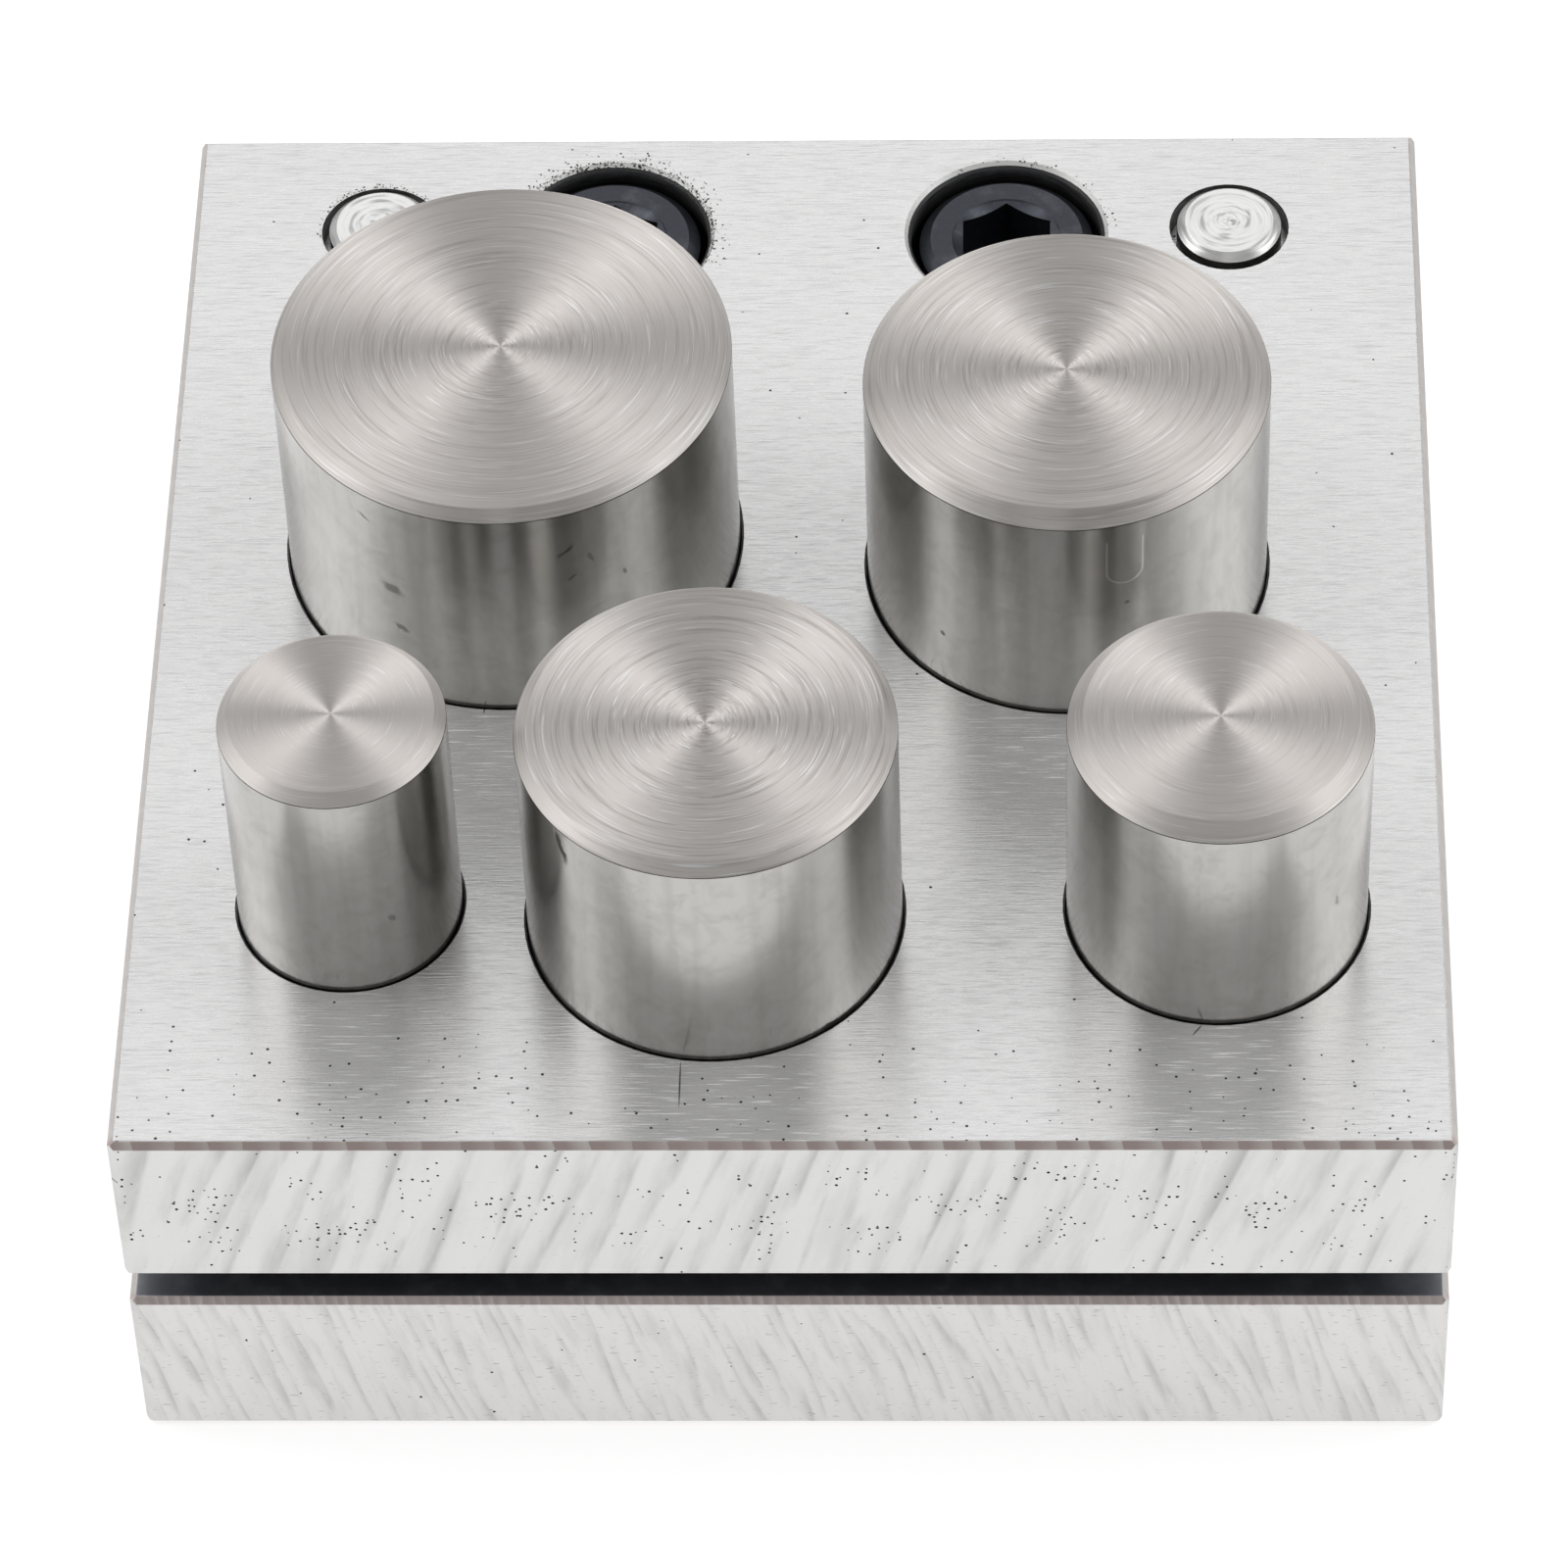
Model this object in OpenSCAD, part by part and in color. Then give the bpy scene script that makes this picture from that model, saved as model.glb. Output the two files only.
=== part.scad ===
// Jewellers' disc cutter: a die plate and a guide plate held apart by a strip along the back,
// with five loose round punches that slide down through both plates.
// Millimetres. +Z up, front towards -Y. The origin is the middle of the die plate's underside.

/* [Plates] */
// Width of both plates, left to right
plate_w = 70.4; // [66:0.2:85]
// Depth of both plates, front to back
plate_d = 74.2; // [71:0.2:90]
// Thickness of the guide plate, the upper one
guide_t = 11.3; // [9:0.1:16]
// Thickness of the die plate, the lower one
die_t = 11.2; // [10:0.1:16]
// Chamfer along every outside edge of a plate
edge_chamfer = 0.35; // [0.1:0.05:0.8]

/* [Sheet slot] */
// Height of the slot that takes the sheet, which is the spacer's thickness
slot_h = 2.1; // [1:0.1:4]
// Front-to-back depth of the spacer strip
spacer_d = 14; // [12.5:0.1:17]

/* [Front left punch] */
// Diameter of the front left punch
front_left_d = 12; // [8:0.5:13]
// Chamfer round its struck end
front_left_chamfer = 0.6; // [0.2:0.05:1.5]
// Metal between its hole and the left edge
front_left_side_web = 5.9; // [4:0.1:7]
// Metal between its hole and the front edge
front_left_edge_web = 10.5; // [6:0.1:12]

/* [Front middle punch] */
// Diameter of the front middle punch
front_middle_d = 20; // [16:0.5:22]
// Chamfer round its struck end
front_middle_chamfer = 0.65; // [0.2:0.05:1.5]
// Metal between its hole and the front left hole, left to right
front_middle_side_web = 3.5; // [2.5:0.1:6]
// Metal between its hole and the front edge
front_middle_edge_web = 5.8; // [4:0.1:7]

/* [Front right punch] */
// Diameter of the front right punch
front_right_d = 16; // [12:0.5:18]
// Chamfer round its struck end
front_right_chamfer = 0.85; // [0.2:0.05:1.5]
// Metal between its hole and the right edge
front_right_side_web = 4.3; // [3.5:0.1:6]
// Metal between its hole and the front edge
front_right_edge_web = 8.2; // [5:0.1:9]

/* [Rear left punch] */
// Diameter of the rear left punch
rear_left_d = 25; // [20:0.5:27]
// Chamfer round its struck end
rear_left_chamfer = 0.6; // [0.2:0.05:1.5]
// Metal between its hole and the left edge
rear_left_side_web = 7.1; // [5:0.1:9]
// Metal between its hole and the rear edge
rear_left_edge_web = 18.9; // [18:0.1:20]

/* [Rear right punch] */
// Diameter of the rear right punch
rear_right_d = 22; // [18:0.5:24]
// Chamfer round its struck end
rear_right_chamfer = 0.85; // [0.2:0.05:1.5]
// Metal between its hole and the right edge
rear_right_side_web = 9.2; // [6:0.1:10]
// Metal between its hole and the rear edge
rear_right_edge_web = 22.3; // [19:0.1:23]

/* [Fit of the punches] */
// How far a punch stands above the guide plate when its foot is level with the base
punch_stand = 15.4; // [8:0.1:25]
// Radial clearance between a punch and the guide plate
guide_clearance = 0.08; // [0.02:0.01:0.1]
// Radial clearance between a punch and the cutting land of its die hole
die_clearance = 0.03; // [0.01:0.01:0.06]
// Chamfer at both mouths of a guide hole
guide_mouth_chamfer = 0.12; // [0.04:0.02:0.5]
// Height of the cutting land at the top of a die hole
die_land_h = 4; // [2:0.5:7]
// How much wider than the punch a die hole is below its land, on the radius
die_relief = 0.5; // [0.2:0.1:1]

/* [Screws] */
// Nominal thread diameter of the two socket head screws
screw_d = 6; // [5:0.5:6.5]
// Diameter of a screw head
screw_head_d = 10; // [9:0.1:11]
// Height of a screw head
screw_head_h = 6; // [5:0.1:7]
// Chamfer round the top of a screw head
head_chamfer = 0.55; // [0.2:0.05:1]
// Width of a screw head's hexagon socket, across the flats
socket_af = 5; // [4:0.1:5.5]
// Depth of the socket
socket_depth = 3; // [2:0.1:4]
// Radius of the cone that leads into the socket, at the top of the head
socket_mouth_r = 3.05; // [3:0.05:3.4]
// Depth of the top of a screw head below the guide plate's face
head_recess = 0.4; // [0:0.1:1.5]
// Length of thread in the die plate
thread_engagement = 9; // [6:0.1:9.5]
// Distance of the left screw from the left edge
left_screw_inset = 24.2; // [22:0.1:26]
// Distance of the right screw from the right edge
right_screw_inset = 23.6; // [22:0.1:26]
// Distance of both screws from the rear edge
rear_screw_inset = 7.9; // [7:0.1:8.5]
// Radial clearance between a screw head and its counterbore
head_clearance = 0.5; // [0.2:0.1:0.8]
// Radial clearance between a screw and its holes in the guide plate and the spacer
shank_clearance = 0.3; // [0.1:0.05:0.5]
// Radial play of the threads, which are drawn as plain cylinders at their major diameter
thread_clearance = 0.02; // [0.01:0.01:0.05]
// Chamfer at the mouth of a counterbore or a tapped hole and at a screw's tip
screw_mouth_chamfer = 0.35; // [0.1:0.05:0.6]

/* [Dowel pins] */
// Diameter of the two dowel pins
pin_d = 6; // [5:0.5:7]
// Distance of each pin from the side edge next to it
side_pin_inset = 10.85; // [9:0.05:12]
// Distance of both pins from the rear edge
rear_pin_inset = 7.5; // [7:0.1:8.5]
// How far a pin stands above the guide plate's face
pin_proud = 0.55; // [0:0.05:1.5]
// How far a pin's foot is sunk above the die plate's underside
pin_sink = 0.6; // [0.2:0.1:2]
// Chamfer at both ends of a pin
pin_chamfer = 0.45; // [0.2:0.05:1]
// Radial clearance between a pin and its reamed holes
pin_clearance = 0.015; // [0.01:0.005:0.05]
// Radial width of the relief round the top of a pin
pin_relief = 0.42; // [0.2:0.02:0.6]
// Depth of the relief round the top of a pin
pin_relief_h = 1.5; // [0.5:0.1:3]

/* [Hidden] */

$fn = 96;
through = 1;         // how far a cut runs past the face that it opens
hex_sides = 6;
drill_slope = 0.3;   // depth of the drilled cone under the socket over its radius

guide_z = die_t + slot_h;
block_h = guide_z + guide_t;
punch_l = block_h + punch_stand;

counterbore_depth = screw_head_h + head_recess;
screw_l = guide_t - counterbore_depth + slot_h + thread_engagement;
screw_tip_z = die_t - thread_engagement;
pin_l = block_h + pin_proud - pin_sink;

// The middle of each round thing, from the plate's edges and its own radius
left_x = -plate_w / 2;
right_x = plate_w / 2;
front_y = -plate_d / 2;
rear_y = plate_d / 2;
front_left_at = [
    left_x + front_left_side_web + front_left_d / 2,
    front_y + front_left_edge_web + front_left_d / 2,
];
front_middle_at = [
    front_left_at.x + front_left_d / 2 + front_middle_side_web + front_middle_d / 2,
    front_y + front_middle_edge_web + front_middle_d / 2,
];
front_right_at = [
    right_x - front_right_side_web - front_right_d / 2,
    front_y + front_right_edge_web + front_right_d / 2,
];
rear_left_at = [
    left_x + rear_left_side_web + rear_left_d / 2,
    rear_y - rear_left_edge_web - rear_left_d / 2,
];
rear_right_at = [
    right_x - rear_right_side_web - rear_right_d / 2,
    rear_y - rear_right_edge_web - rear_right_d / 2,
];
left_screw_at = [left_x + left_screw_inset, rear_y - rear_screw_inset];
right_screw_at = [right_x - right_screw_inset, rear_y - rear_screw_inset];
left_pin_at = [left_x + side_pin_inset, rear_y - rear_pin_inset];
right_pin_at = [right_x - side_pin_inset, rear_y - rear_pin_inset];

// Draws its child round the middle of every punch, with $punch_r as that punch's radius
module at_each_punch() {
    for (place = [
        [front_left_at, front_left_d],
        [front_middle_at, front_middle_d],
        [front_right_at, front_right_d],
        [rear_left_at, rear_left_d],
        [rear_right_at, rear_right_d],
    ]) {
        $punch_r = place[1] / 2;
        translate(place[0]) children();
    }
}

module at_each_screw() {
    for (at = [left_screw_at, right_screw_at]) translate(at) children();
}

module at_each_pin() {
    for (at = [left_pin_at, right_pin_at]) translate(at) children();
}

// A plate centred on X and Y, standing on Z = 0, with all its edges chamfered
module plate(w, d, h, c) {
    translate([0, 0, h / 2]) intersection() {
        linear_extrude(h, center = true) cut_corner_rectangle(w, d, c);
        rotate([90, 0, 0]) linear_extrude(d, center = true) cut_corner_rectangle(w, h, c);
        rotate([90, 0, 90]) linear_extrude(w, center = true) cut_corner_rectangle(d, h, c);
    }
}

module cut_corner_rectangle(a, b, c) {
    x = a / 2;
    y = b / 2;
    polygon([
        [x, y - c], [x - c, y], [c - x, y], [-x, y - c],
        [-x, c - y], [c - x, -y], [x - c, -y], [x, c - y],
    ]);
}

// A cutter for a round hole from z0 up to z1, with a chamfer at either mouth if one is asked for
module hole(r, z0, z1, chamfer_below = 0, chamfer_above = 0) {
    translate([0, 0, z0 - through]) cylinder(h = z1 - z0 + 2 * through, r = r);
    if (chamfer_below > 0) translate([0, 0, z0 - chamfer_below])
        cylinder(h = 2 * chamfer_below, r1 = r + 2 * chamfer_below, r2 = r);
    if (chamfer_above > 0) translate([0, 0, z1 - chamfer_above])
        cylinder(h = 2 * chamfer_above, r1 = r, r2 = r + 2 * chamfer_above);
}

module die_plate() {
    color([0.84, 0.84, 0.85]) difference() {
        plate(plate_w, plate_d, die_t, edge_chamfer);
        at_each_punch() die_hole($punch_r);
        at_each_screw()
            hole(screw_d / 2 + thread_clearance, 0, die_t, screw_mouth_chamfer, screw_mouth_chamfer);
        at_each_pin() hole(pin_d / 2 + pin_clearance, 0, die_t, pin_chamfer);
    }
}

// A close cutting land at the top, which opens through a short cone into a wider way out below
module die_hole(punch_r) {
    land_r = punch_r + die_clearance;
    relief_r = punch_r + die_relief;
    cone_h = relief_r - land_r;
    cone_z = die_t - die_land_h - cone_h;
    translate([0, 0, cone_z]) cylinder(h = cone_h + die_land_h + through, r = land_r);
    translate([0, 0, cone_z]) cylinder(h = cone_h, r1 = relief_r, r2 = land_r);
    translate([0, 0, -through]) cylinder(h = cone_z + through, r = relief_r);
}

module spacer_strip() {
    color([0.72, 0.72, 0.73]) difference() {
        translate([left_x + edge_chamfer, rear_y - edge_chamfer - spacer_d, die_t])
            cube([plate_w - 2 * edge_chamfer, spacer_d, slot_h]);
        at_each_screw() hole(screw_d / 2 + shank_clearance, die_t, guide_z);
        at_each_pin() hole(pin_d / 2 + pin_clearance, die_t, guide_z);
    }
}

module guide_plate() {
    color([0.86, 0.86, 0.87]) difference() {
        translate([0, 0, guide_z]) plate(plate_w, plate_d, guide_t, edge_chamfer);
        at_each_punch()
            hole($punch_r + guide_clearance, guide_z, block_h, guide_mouth_chamfer, guide_mouth_chamfer);
        at_each_screw() {
            hole(screw_d / 2 + shank_clearance, guide_z, block_h);
            translate([0, 0, block_h - counterbore_depth]) counterbore();
        }
        at_each_pin() {
            hole(pin_d / 2 + pin_clearance, guide_z, block_h);
            translate([0, 0, block_h - pin_relief_h])
                cylinder(h = pin_relief_h + through, r = pin_d / 2 + pin_relief);
        }
    }
}

// A counterbore with its floor at Z = 0 and its edge broken
module counterbore() {
    r = screw_head_d / 2 + head_clearance;
    c = screw_mouth_chamfer;
    cylinder(h = counterbore_depth + through, r = r);
    translate([0, 0, counterbore_depth - c]) cylinder(h = 2 * c, r1 = r, r2 = r + 2 * c);
}

// A socket head screw, with a corner of its socket to the back
module clamp_screw(at) {
    r = screw_d / 2;
    c = screw_mouth_chamfer;
    head_r = screw_head_d / 2;
    top = screw_l + screw_head_h;
    color([0.17, 0.18, 0.2]) translate([0, 0, screw_tip_z]) translate(at) difference() {
        rotate_extrude() polygon([
            [0, 0], [r - c, 0], [r, c], [r, screw_l], [head_r, screw_l],
            [head_r, top - head_chamfer], [head_r - head_chamfer, top], [0, top],
        ]);
        translate([0, 0, top]) hex_socket();
    }
}

// A hexagon socket whose mouth is at Z = 0, over the cone that its drill left
module hex_socket() {
    flat_r = socket_af / 2;
    lead = socket_mouth_r - flat_r;
    tip_h = drill_slope * flat_r;
    translate([0, 0, -socket_depth]) rotate(180 / hex_sides)
        cylinder(h = socket_depth + through, r = flat_r / cos(180 / hex_sides), $fn = hex_sides);
    translate([0, 0, -socket_depth - tip_h]) cylinder(h = tip_h, r1 = 0, r2 = flat_r);
    translate([0, 0, -lead]) cylinder(h = 2 * lead, r1 = flat_r, r2 = flat_r + 2 * lead);
}

module dowel_pin(at) {
    r = pin_d / 2;
    c = pin_chamfer;
    color([0.8, 0.8, 0.8]) translate([0, 0, pin_sink]) translate(at) rotate_extrude()
        polygon([[0, 0], [r - c, 0], [r, c], [r, pin_l - c], [r - c, pin_l], [0, pin_l]]);
}

// A punch has a sharp cutting edge round its foot and a chamfer round its struck end
module punch(d, chamfer, at) {
    r = d / 2;
    color([0.66, 0.65, 0.64]) translate(at) rotate_extrude()
        polygon([[0, 0], [r, 0], [r, punch_l - chamfer], [r - chamfer, punch_l], [0, punch_l]]);
}

die_plate();
spacer_strip();
guide_plate();
clamp_screw(left_screw_at);  // clamp_screw_left
clamp_screw(right_screw_at);  // clamp_screw_right
dowel_pin(left_pin_at);  // dowel_pin_left
dowel_pin(right_pin_at);  // dowel_pin_right
punch(front_left_d, front_left_chamfer, front_left_at);  // punch_front_left
punch(front_middle_d, front_middle_chamfer, front_middle_at);  // punch_front_middle
punch(front_right_d, front_right_chamfer, front_right_at);  // punch_front_right
punch(rear_left_d, rear_left_chamfer, rear_left_at);  // punch_rear_left
punch(rear_right_d, rear_right_chamfer, rear_right_at);  // punch_rear_right
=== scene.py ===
import math
import bmesh
import bpy
from mathutils import Matrix, Vector


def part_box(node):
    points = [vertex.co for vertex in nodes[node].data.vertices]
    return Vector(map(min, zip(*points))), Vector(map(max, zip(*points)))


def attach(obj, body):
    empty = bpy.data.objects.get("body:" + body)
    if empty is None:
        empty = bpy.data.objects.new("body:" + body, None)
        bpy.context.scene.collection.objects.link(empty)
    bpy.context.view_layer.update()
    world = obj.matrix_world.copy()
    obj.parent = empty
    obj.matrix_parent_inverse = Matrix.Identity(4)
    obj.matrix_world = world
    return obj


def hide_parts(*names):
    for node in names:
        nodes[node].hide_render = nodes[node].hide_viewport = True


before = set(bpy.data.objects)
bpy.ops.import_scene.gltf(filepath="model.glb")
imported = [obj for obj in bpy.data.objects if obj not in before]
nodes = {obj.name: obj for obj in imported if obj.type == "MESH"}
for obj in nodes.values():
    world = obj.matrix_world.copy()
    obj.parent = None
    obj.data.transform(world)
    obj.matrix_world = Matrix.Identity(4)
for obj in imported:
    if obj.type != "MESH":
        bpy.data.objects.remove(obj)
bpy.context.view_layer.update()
mm = 0.001
weld = 0.0005 * mm   # points that are closer than this become one
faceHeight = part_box("guide_plate")[1].z   # the top of the block
print("loaded", len(nodes), "nodes")


def linearColor(hexText):
    # an sRGB hex value such as "#c8c6c2" as the linear colour that the shaders take
    levels = [int(hexText[i:i + 2], 16) / 255 for i in (1, 3, 5)]
    return [v / 12.92 if v <= 0.04045 else ((v + 0.055) / 1.055) ** 2.4 for v in levels] + [1]


def addNode(tree, kind, inputs=(), **settings):
    # inputs are {socket: value or the socket it is linked from}; gives the node's outputs
    node = tree.nodes.new(kind)
    for name, value in settings.items():
        setattr(node, name, value)
    for name, value in dict(inputs).items():
        if isinstance(value, bpy.types.NodeSocket):
            tree.links.new(value, node.inputs[name])
        else:
            node.inputs[name].default_value = value
    return node.outputs


def newShader(owner):
    owner.use_nodes = True
    owner.node_tree.nodes.clear()
    return owner.node_tree


def layColors(tree, base, layers):
    # colours that lie over the base one after the other, each where its mask is 1
    color = linearColor(base)
    for mask, over in layers:
        color = addNode(tree, "ShaderNodeMix", {0: mask, 6: color, 7: linearColor(over)}, data_type="RGBA")[2]
    return color


def finishSteel(material, inputs):
    # one Principled shader, all metal unless the inputs say otherwise
    tree = material.node_tree
    steel = addNode(tree, "ShaderNodeBsdfPrincipled", {"Metallic": 1.0, **inputs})[0]
    addNode(tree, "ShaderNodeOutputMaterial", {"Surface": steel})
    return material


def newPieceTree(name, sockets):
    # a Geometry Nodes tree with these named inputs
    tree = bpy.data.node_groups.new(name, "GeometryNodeTree")
    for socket, kind in sockets:
        tree.interface.new_socket(socket, in_out="INPUT", socket_type="NodeSocket" + kind)
    tree.interface.new_socket("Geometry", in_out="OUTPUT", socket_type="NodeSocketGeometry")
    return tree, addNode(tree, "NodeGroupInput")


def pickCorner(tree, corners, index):
    # the corner of a profile, as (out from the axis, up), that has this index
    which = addNode(tree, "GeometryNodeIndexSwitch", {0: index}, data_type="VECTOR")[0].node
    for _ in range(len(corners) - 2):
        which.index_switch_items.new()
    for i, (out, up) in enumerate(corners):
        tree.links.new(addNode(tree, "ShaderNodeCombineXYZ", {"X": out, "Z": up})[0], which.inputs[i + 1])
    return which.outputs[0]


def stretchedNoise(tree, place, scale, inputs, **settings):
    # noise on a place that is scaled along each axis
    stretched = addNode(tree, "ShaderNodeMapping", {"Vector": place, "Scale": scale})[0]
    inputs = {"Vector": stretched, "Scale": 1.0, **inputs}
    return addNode(tree, "ShaderNodeTexNoise", inputs, **settings)["Fac"]


def scatterPits(tree, place, share, spacing, radii):
    # one round pit in some cells of a pattern; the share is how many of the cells have one
    cells = addNode(tree, "ShaderNodeTexVoronoi", {
        "Vector": place, "Scale": 1 / spacing,
    }, voronoi_dimensions="2D")
    chance = addNode(tree, "ShaderNodeSeparateColor", {0: cells["Color"]})
    there = addNode(tree, "ShaderNodeMath", {0: chance["Red"], 1: share}, operation="LESS_THAN")[0]
    size = addNode(tree, "ShaderNodeMapRange", {
        "Value": chance["Green"], "To Min": radii[0] / spacing, "To Max": radii[1] / spacing,
    })[0]
    inside = addNode(tree, "ShaderNodeMath", {0: cells["Distance"], 1: size}, operation="LESS_THAN")[0]
    return addNode(tree, "ShaderNodeMath", {0: inside, 1: there}, operation="MULTIPLY")[0]


def edgePlace(tree, slant):
    # On the plates' outer edges: the x, y and z, the place along the edge and up, the same place leaned
    # by this many degrees, and how far across the lean it is.
    xyz = addNode(tree, "ShaderNodeSeparateXYZ", {0: addNode(tree, "ShaderNodeTexCoord")["Object"]})
    along = addNode(tree, "ShaderNodeMath", {0: xyz["X"], 1: xyz["Y"]})[0]
    face = addNode(tree, "ShaderNodeCombineXYZ", {"X": along, "Y": xyz["Z"]})[0]
    leaned = addNode(tree, "ShaderNodeVectorRotate", {
        "Vector": face, "Angle": math.radians(slant),
    }, rotation_type="Z_AXIS")[0]
    return xyz, face, leaned, addNode(tree, "ShaderNodeSeparateXYZ", {0: leaned})["X"]


def shadeSmooth(tree, body, bend):
    # smooth, and sharp where the faces bend by more than this many degrees
    body = addNode(tree, "GeometryNodeSetShadeSmooth", {"Geometry": body}, domain="FACE")[0]
    angle = addNode(tree, "GeometryNodeInputMeshEdgeAngle")[0]
    sharp = addNode(tree, "ShaderNodeMath", {0: angle, 1: math.radians(bend)}, operation="GREATER_THAN")[0]
    return addNode(tree, "GeometryNodeSetShadeSmooth", {
        "Geometry": body, "Selection": sharp, "Shade Smooth": False,
    }, domain="EDGE")[0]


cameraSettings = {
    "target": Vector((-0.961, 0, 10.172)) * mm,
    "distance": 448.4 * mm,
    "azimuth": 3.01,       # degrees, 0 looks along +Y
    "elevation": 49.437,   # degrees above the horizon
    "roll": -2.421,        # degrees
    "lens": 182.58,        # mm, on a sensor of this width
    "sensor": 36,
    "clip": (0.01, 20),
}


def makeCamera(s):
    azimuth, elevation = math.radians(s["azimuth"]), math.radians(s["elevation"])
    flat = math.cos(elevation)
    back = Vector((math.sin(azimuth) * flat, -math.cos(azimuth) * flat, math.sin(elevation)))
    right = Vector((math.cos(azimuth), math.sin(azimuth), 0))
    turned = Matrix((right, back.cross(right), back)).transposed()
    turned = turned @ Matrix.Rotation(math.radians(s["roll"]), 3, "Z")
    data = bpy.data.cameras.new("camera")
    data.lens = s["lens"]
    data.sensor_width = s["sensor"]
    data.clip_start, data.clip_end = s["clip"]
    camera = bpy.data.objects.new("camera", data)
    bpy.context.scene.collection.objects.link(camera)
    camera.matrix_world = Matrix.Translation(s["target"] + back * s["distance"]) @ turned.to_4x4()
    bpy.context.scene.camera = camera


# Light from everywhere, with two tall softboxes beside the block, a lamp behind and above it, and less from
# where the camera stands. Azimuth 0 is behind the block and 90 is +X. Angles are in degrees.
studio = {
    "rest": 0.24,
    "softboxes": {"azimuth": 80, "halfWidth": 30, "lowest": 24, "highest": 80, "edge": 24, "extra": 1.8},
    "rounds": [
        {"azimuth": -3, "elevation": 50, "inner": 9, "outer": 24, "extra": 0.93},
        {"azimuth": 180, "elevation": 38, "inner": 6, "outer": 34, "extra": 0.22},
    ],
}


def makeWorld(s):
    world = bpy.data.worlds.new("softStudio")
    bpy.context.scene.world = world
    tree = newShader(world)
    direction = addNode(tree, "ShaderNodeTexCoord")["Generated"]
    xyz = addNode(tree, "ShaderNodeSeparateXYZ", {0: direction})
    box = s["softboxes"]
    azimuth = addNode(tree, "ShaderNodeMath", {0: xyz["X"], 1: xyz["Y"]}, operation="ARCTAN2")[0]
    azimuth = addNode(tree, "ShaderNodeMath", {0: azimuth}, operation="ABSOLUTE")[0]
    middle = math.radians(box["azimuth"])
    aside = addNode(tree, "ShaderNodeMath", {0: azimuth, 1: middle}, operation="SUBTRACT")[0]
    aside = addNode(tree, "ShaderNodeMath", {0: aside}, operation="ABSOLUTE")[0]
    height = addNode(tree, "ShaderNodeMath", {0: xyz["Z"]}, operation="ARCSINE")[0]
    # a softbox is the product of three soft edges: beside, below and above it
    total = box["extra"]
    for angle, inside, way in (
        (aside, box["halfWidth"], -1), (height, box["lowest"], 1), (height, box["highest"], -1),
    ):
        edge = addNode(tree, "ShaderNodeMapRange", {
            "Value": angle, "From Min": math.radians(inside - way * box["edge"] / 2),
            "From Max": math.radians(inside + way * box["edge"] / 2),
        }, interpolation_type="SMOOTHSTEP")[0]
        total = addNode(tree, "ShaderNodeMath", {0: total, 1: edge}, operation="MULTIPLY")[0]
    total = addNode(tree, "ShaderNodeMath", {0: total, 1: s["rest"]})[0]
    for lamp in s["rounds"]:
        a, e = math.radians(lamp["azimuth"]), math.radians(lamp["elevation"])
        middle = (math.sin(a) * math.cos(e), math.cos(a) * math.cos(e), math.sin(e))
        facing = addNode(
            tree, "ShaderNodeVectorMath", {0: direction, 1: middle}, operation="DOT_PRODUCT",
        )["Value"]
        glow = addNode(tree, "ShaderNodeMapRange", {
            "Value": facing, "From Min": math.cos(math.radians(lamp["outer"])),
            "From Max": math.cos(math.radians(lamp["inner"])), "To Max": lamp["extra"],
        }, interpolation_type="SMOOTHSTEP")[0]
        total = addNode(tree, "ShaderNodeMath", {0: total, 1: glow})[0]
    background = addNode(tree, "ShaderNodeBackground", {"Color": (1, 1, 1, 1), "Strength": total})[0]
    addNode(tree, "ShaderNodeOutputWorld", {"Surface": background})


floorSettings = {"halfWidth": 3.0, "drop": 0.02 * mm, "color": "#bfbfbf", "ownLight": 0.72}


def makeFloor(s):
    w, z = s["halfWidth"], -s["drop"]
    mesh = bpy.data.meshes.new("floor")
    mesh.from_pydata([(-w, -w, z), (w, -w, z), (w, w, z), (-w, w, z)], [], [(0, 1, 2, 3)])
    floor = bpy.data.objects.new("floor", mesh)
    bpy.context.scene.collection.objects.link(floor)
    # White paper. The camera and the metal see it white all over, and a little of it is the light that
    # falls on it, so that the block keeps its shadow.
    paper = bpy.data.materials.new("whitePaperSweep")
    tree = newShader(paper)
    rays = addNode(tree, "ShaderNodeLightPath")
    seen = addNode(tree, "ShaderNodeMath", {
        0: rays["Is Camera Ray"], 1: rays["Is Glossy Ray"],
    }, operation="MAXIMUM")[0]
    seen = addNode(tree, "ShaderNodeMath", {0: seen, 1: rays["Is Transmission Ray"]}, operation="MAXIMUM")[0]
    ownLight = addNode(tree, "ShaderNodeMath", {0: seen, 1: s["ownLight"]}, operation="MULTIPLY")[0]
    glow = addNode(tree, "ShaderNodeEmission", {"Color": (1, 1, 1, 1), "Strength": ownLight})[0]
    matt = addNode(tree, "ShaderNodeBsdfDiffuse", {"Color": linearColor(s["color"])})[0]
    both = addNode(tree, "ShaderNodeAddShader", {0: glow, 1: matt})[0]
    addNode(tree, "ShaderNodeOutputMaterial", {"Surface": both})
    mesh.materials.append(paper)


makeCamera(cameraSettings)
makeWorld(studio)
makeFloor(floorSettings)
bpy.context.scene.view_settings.view_transform = "Standard"
print("studio made")


ownPattern = 400.0   # noise units per metre between two pieces, so that no two have the same rings


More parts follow.
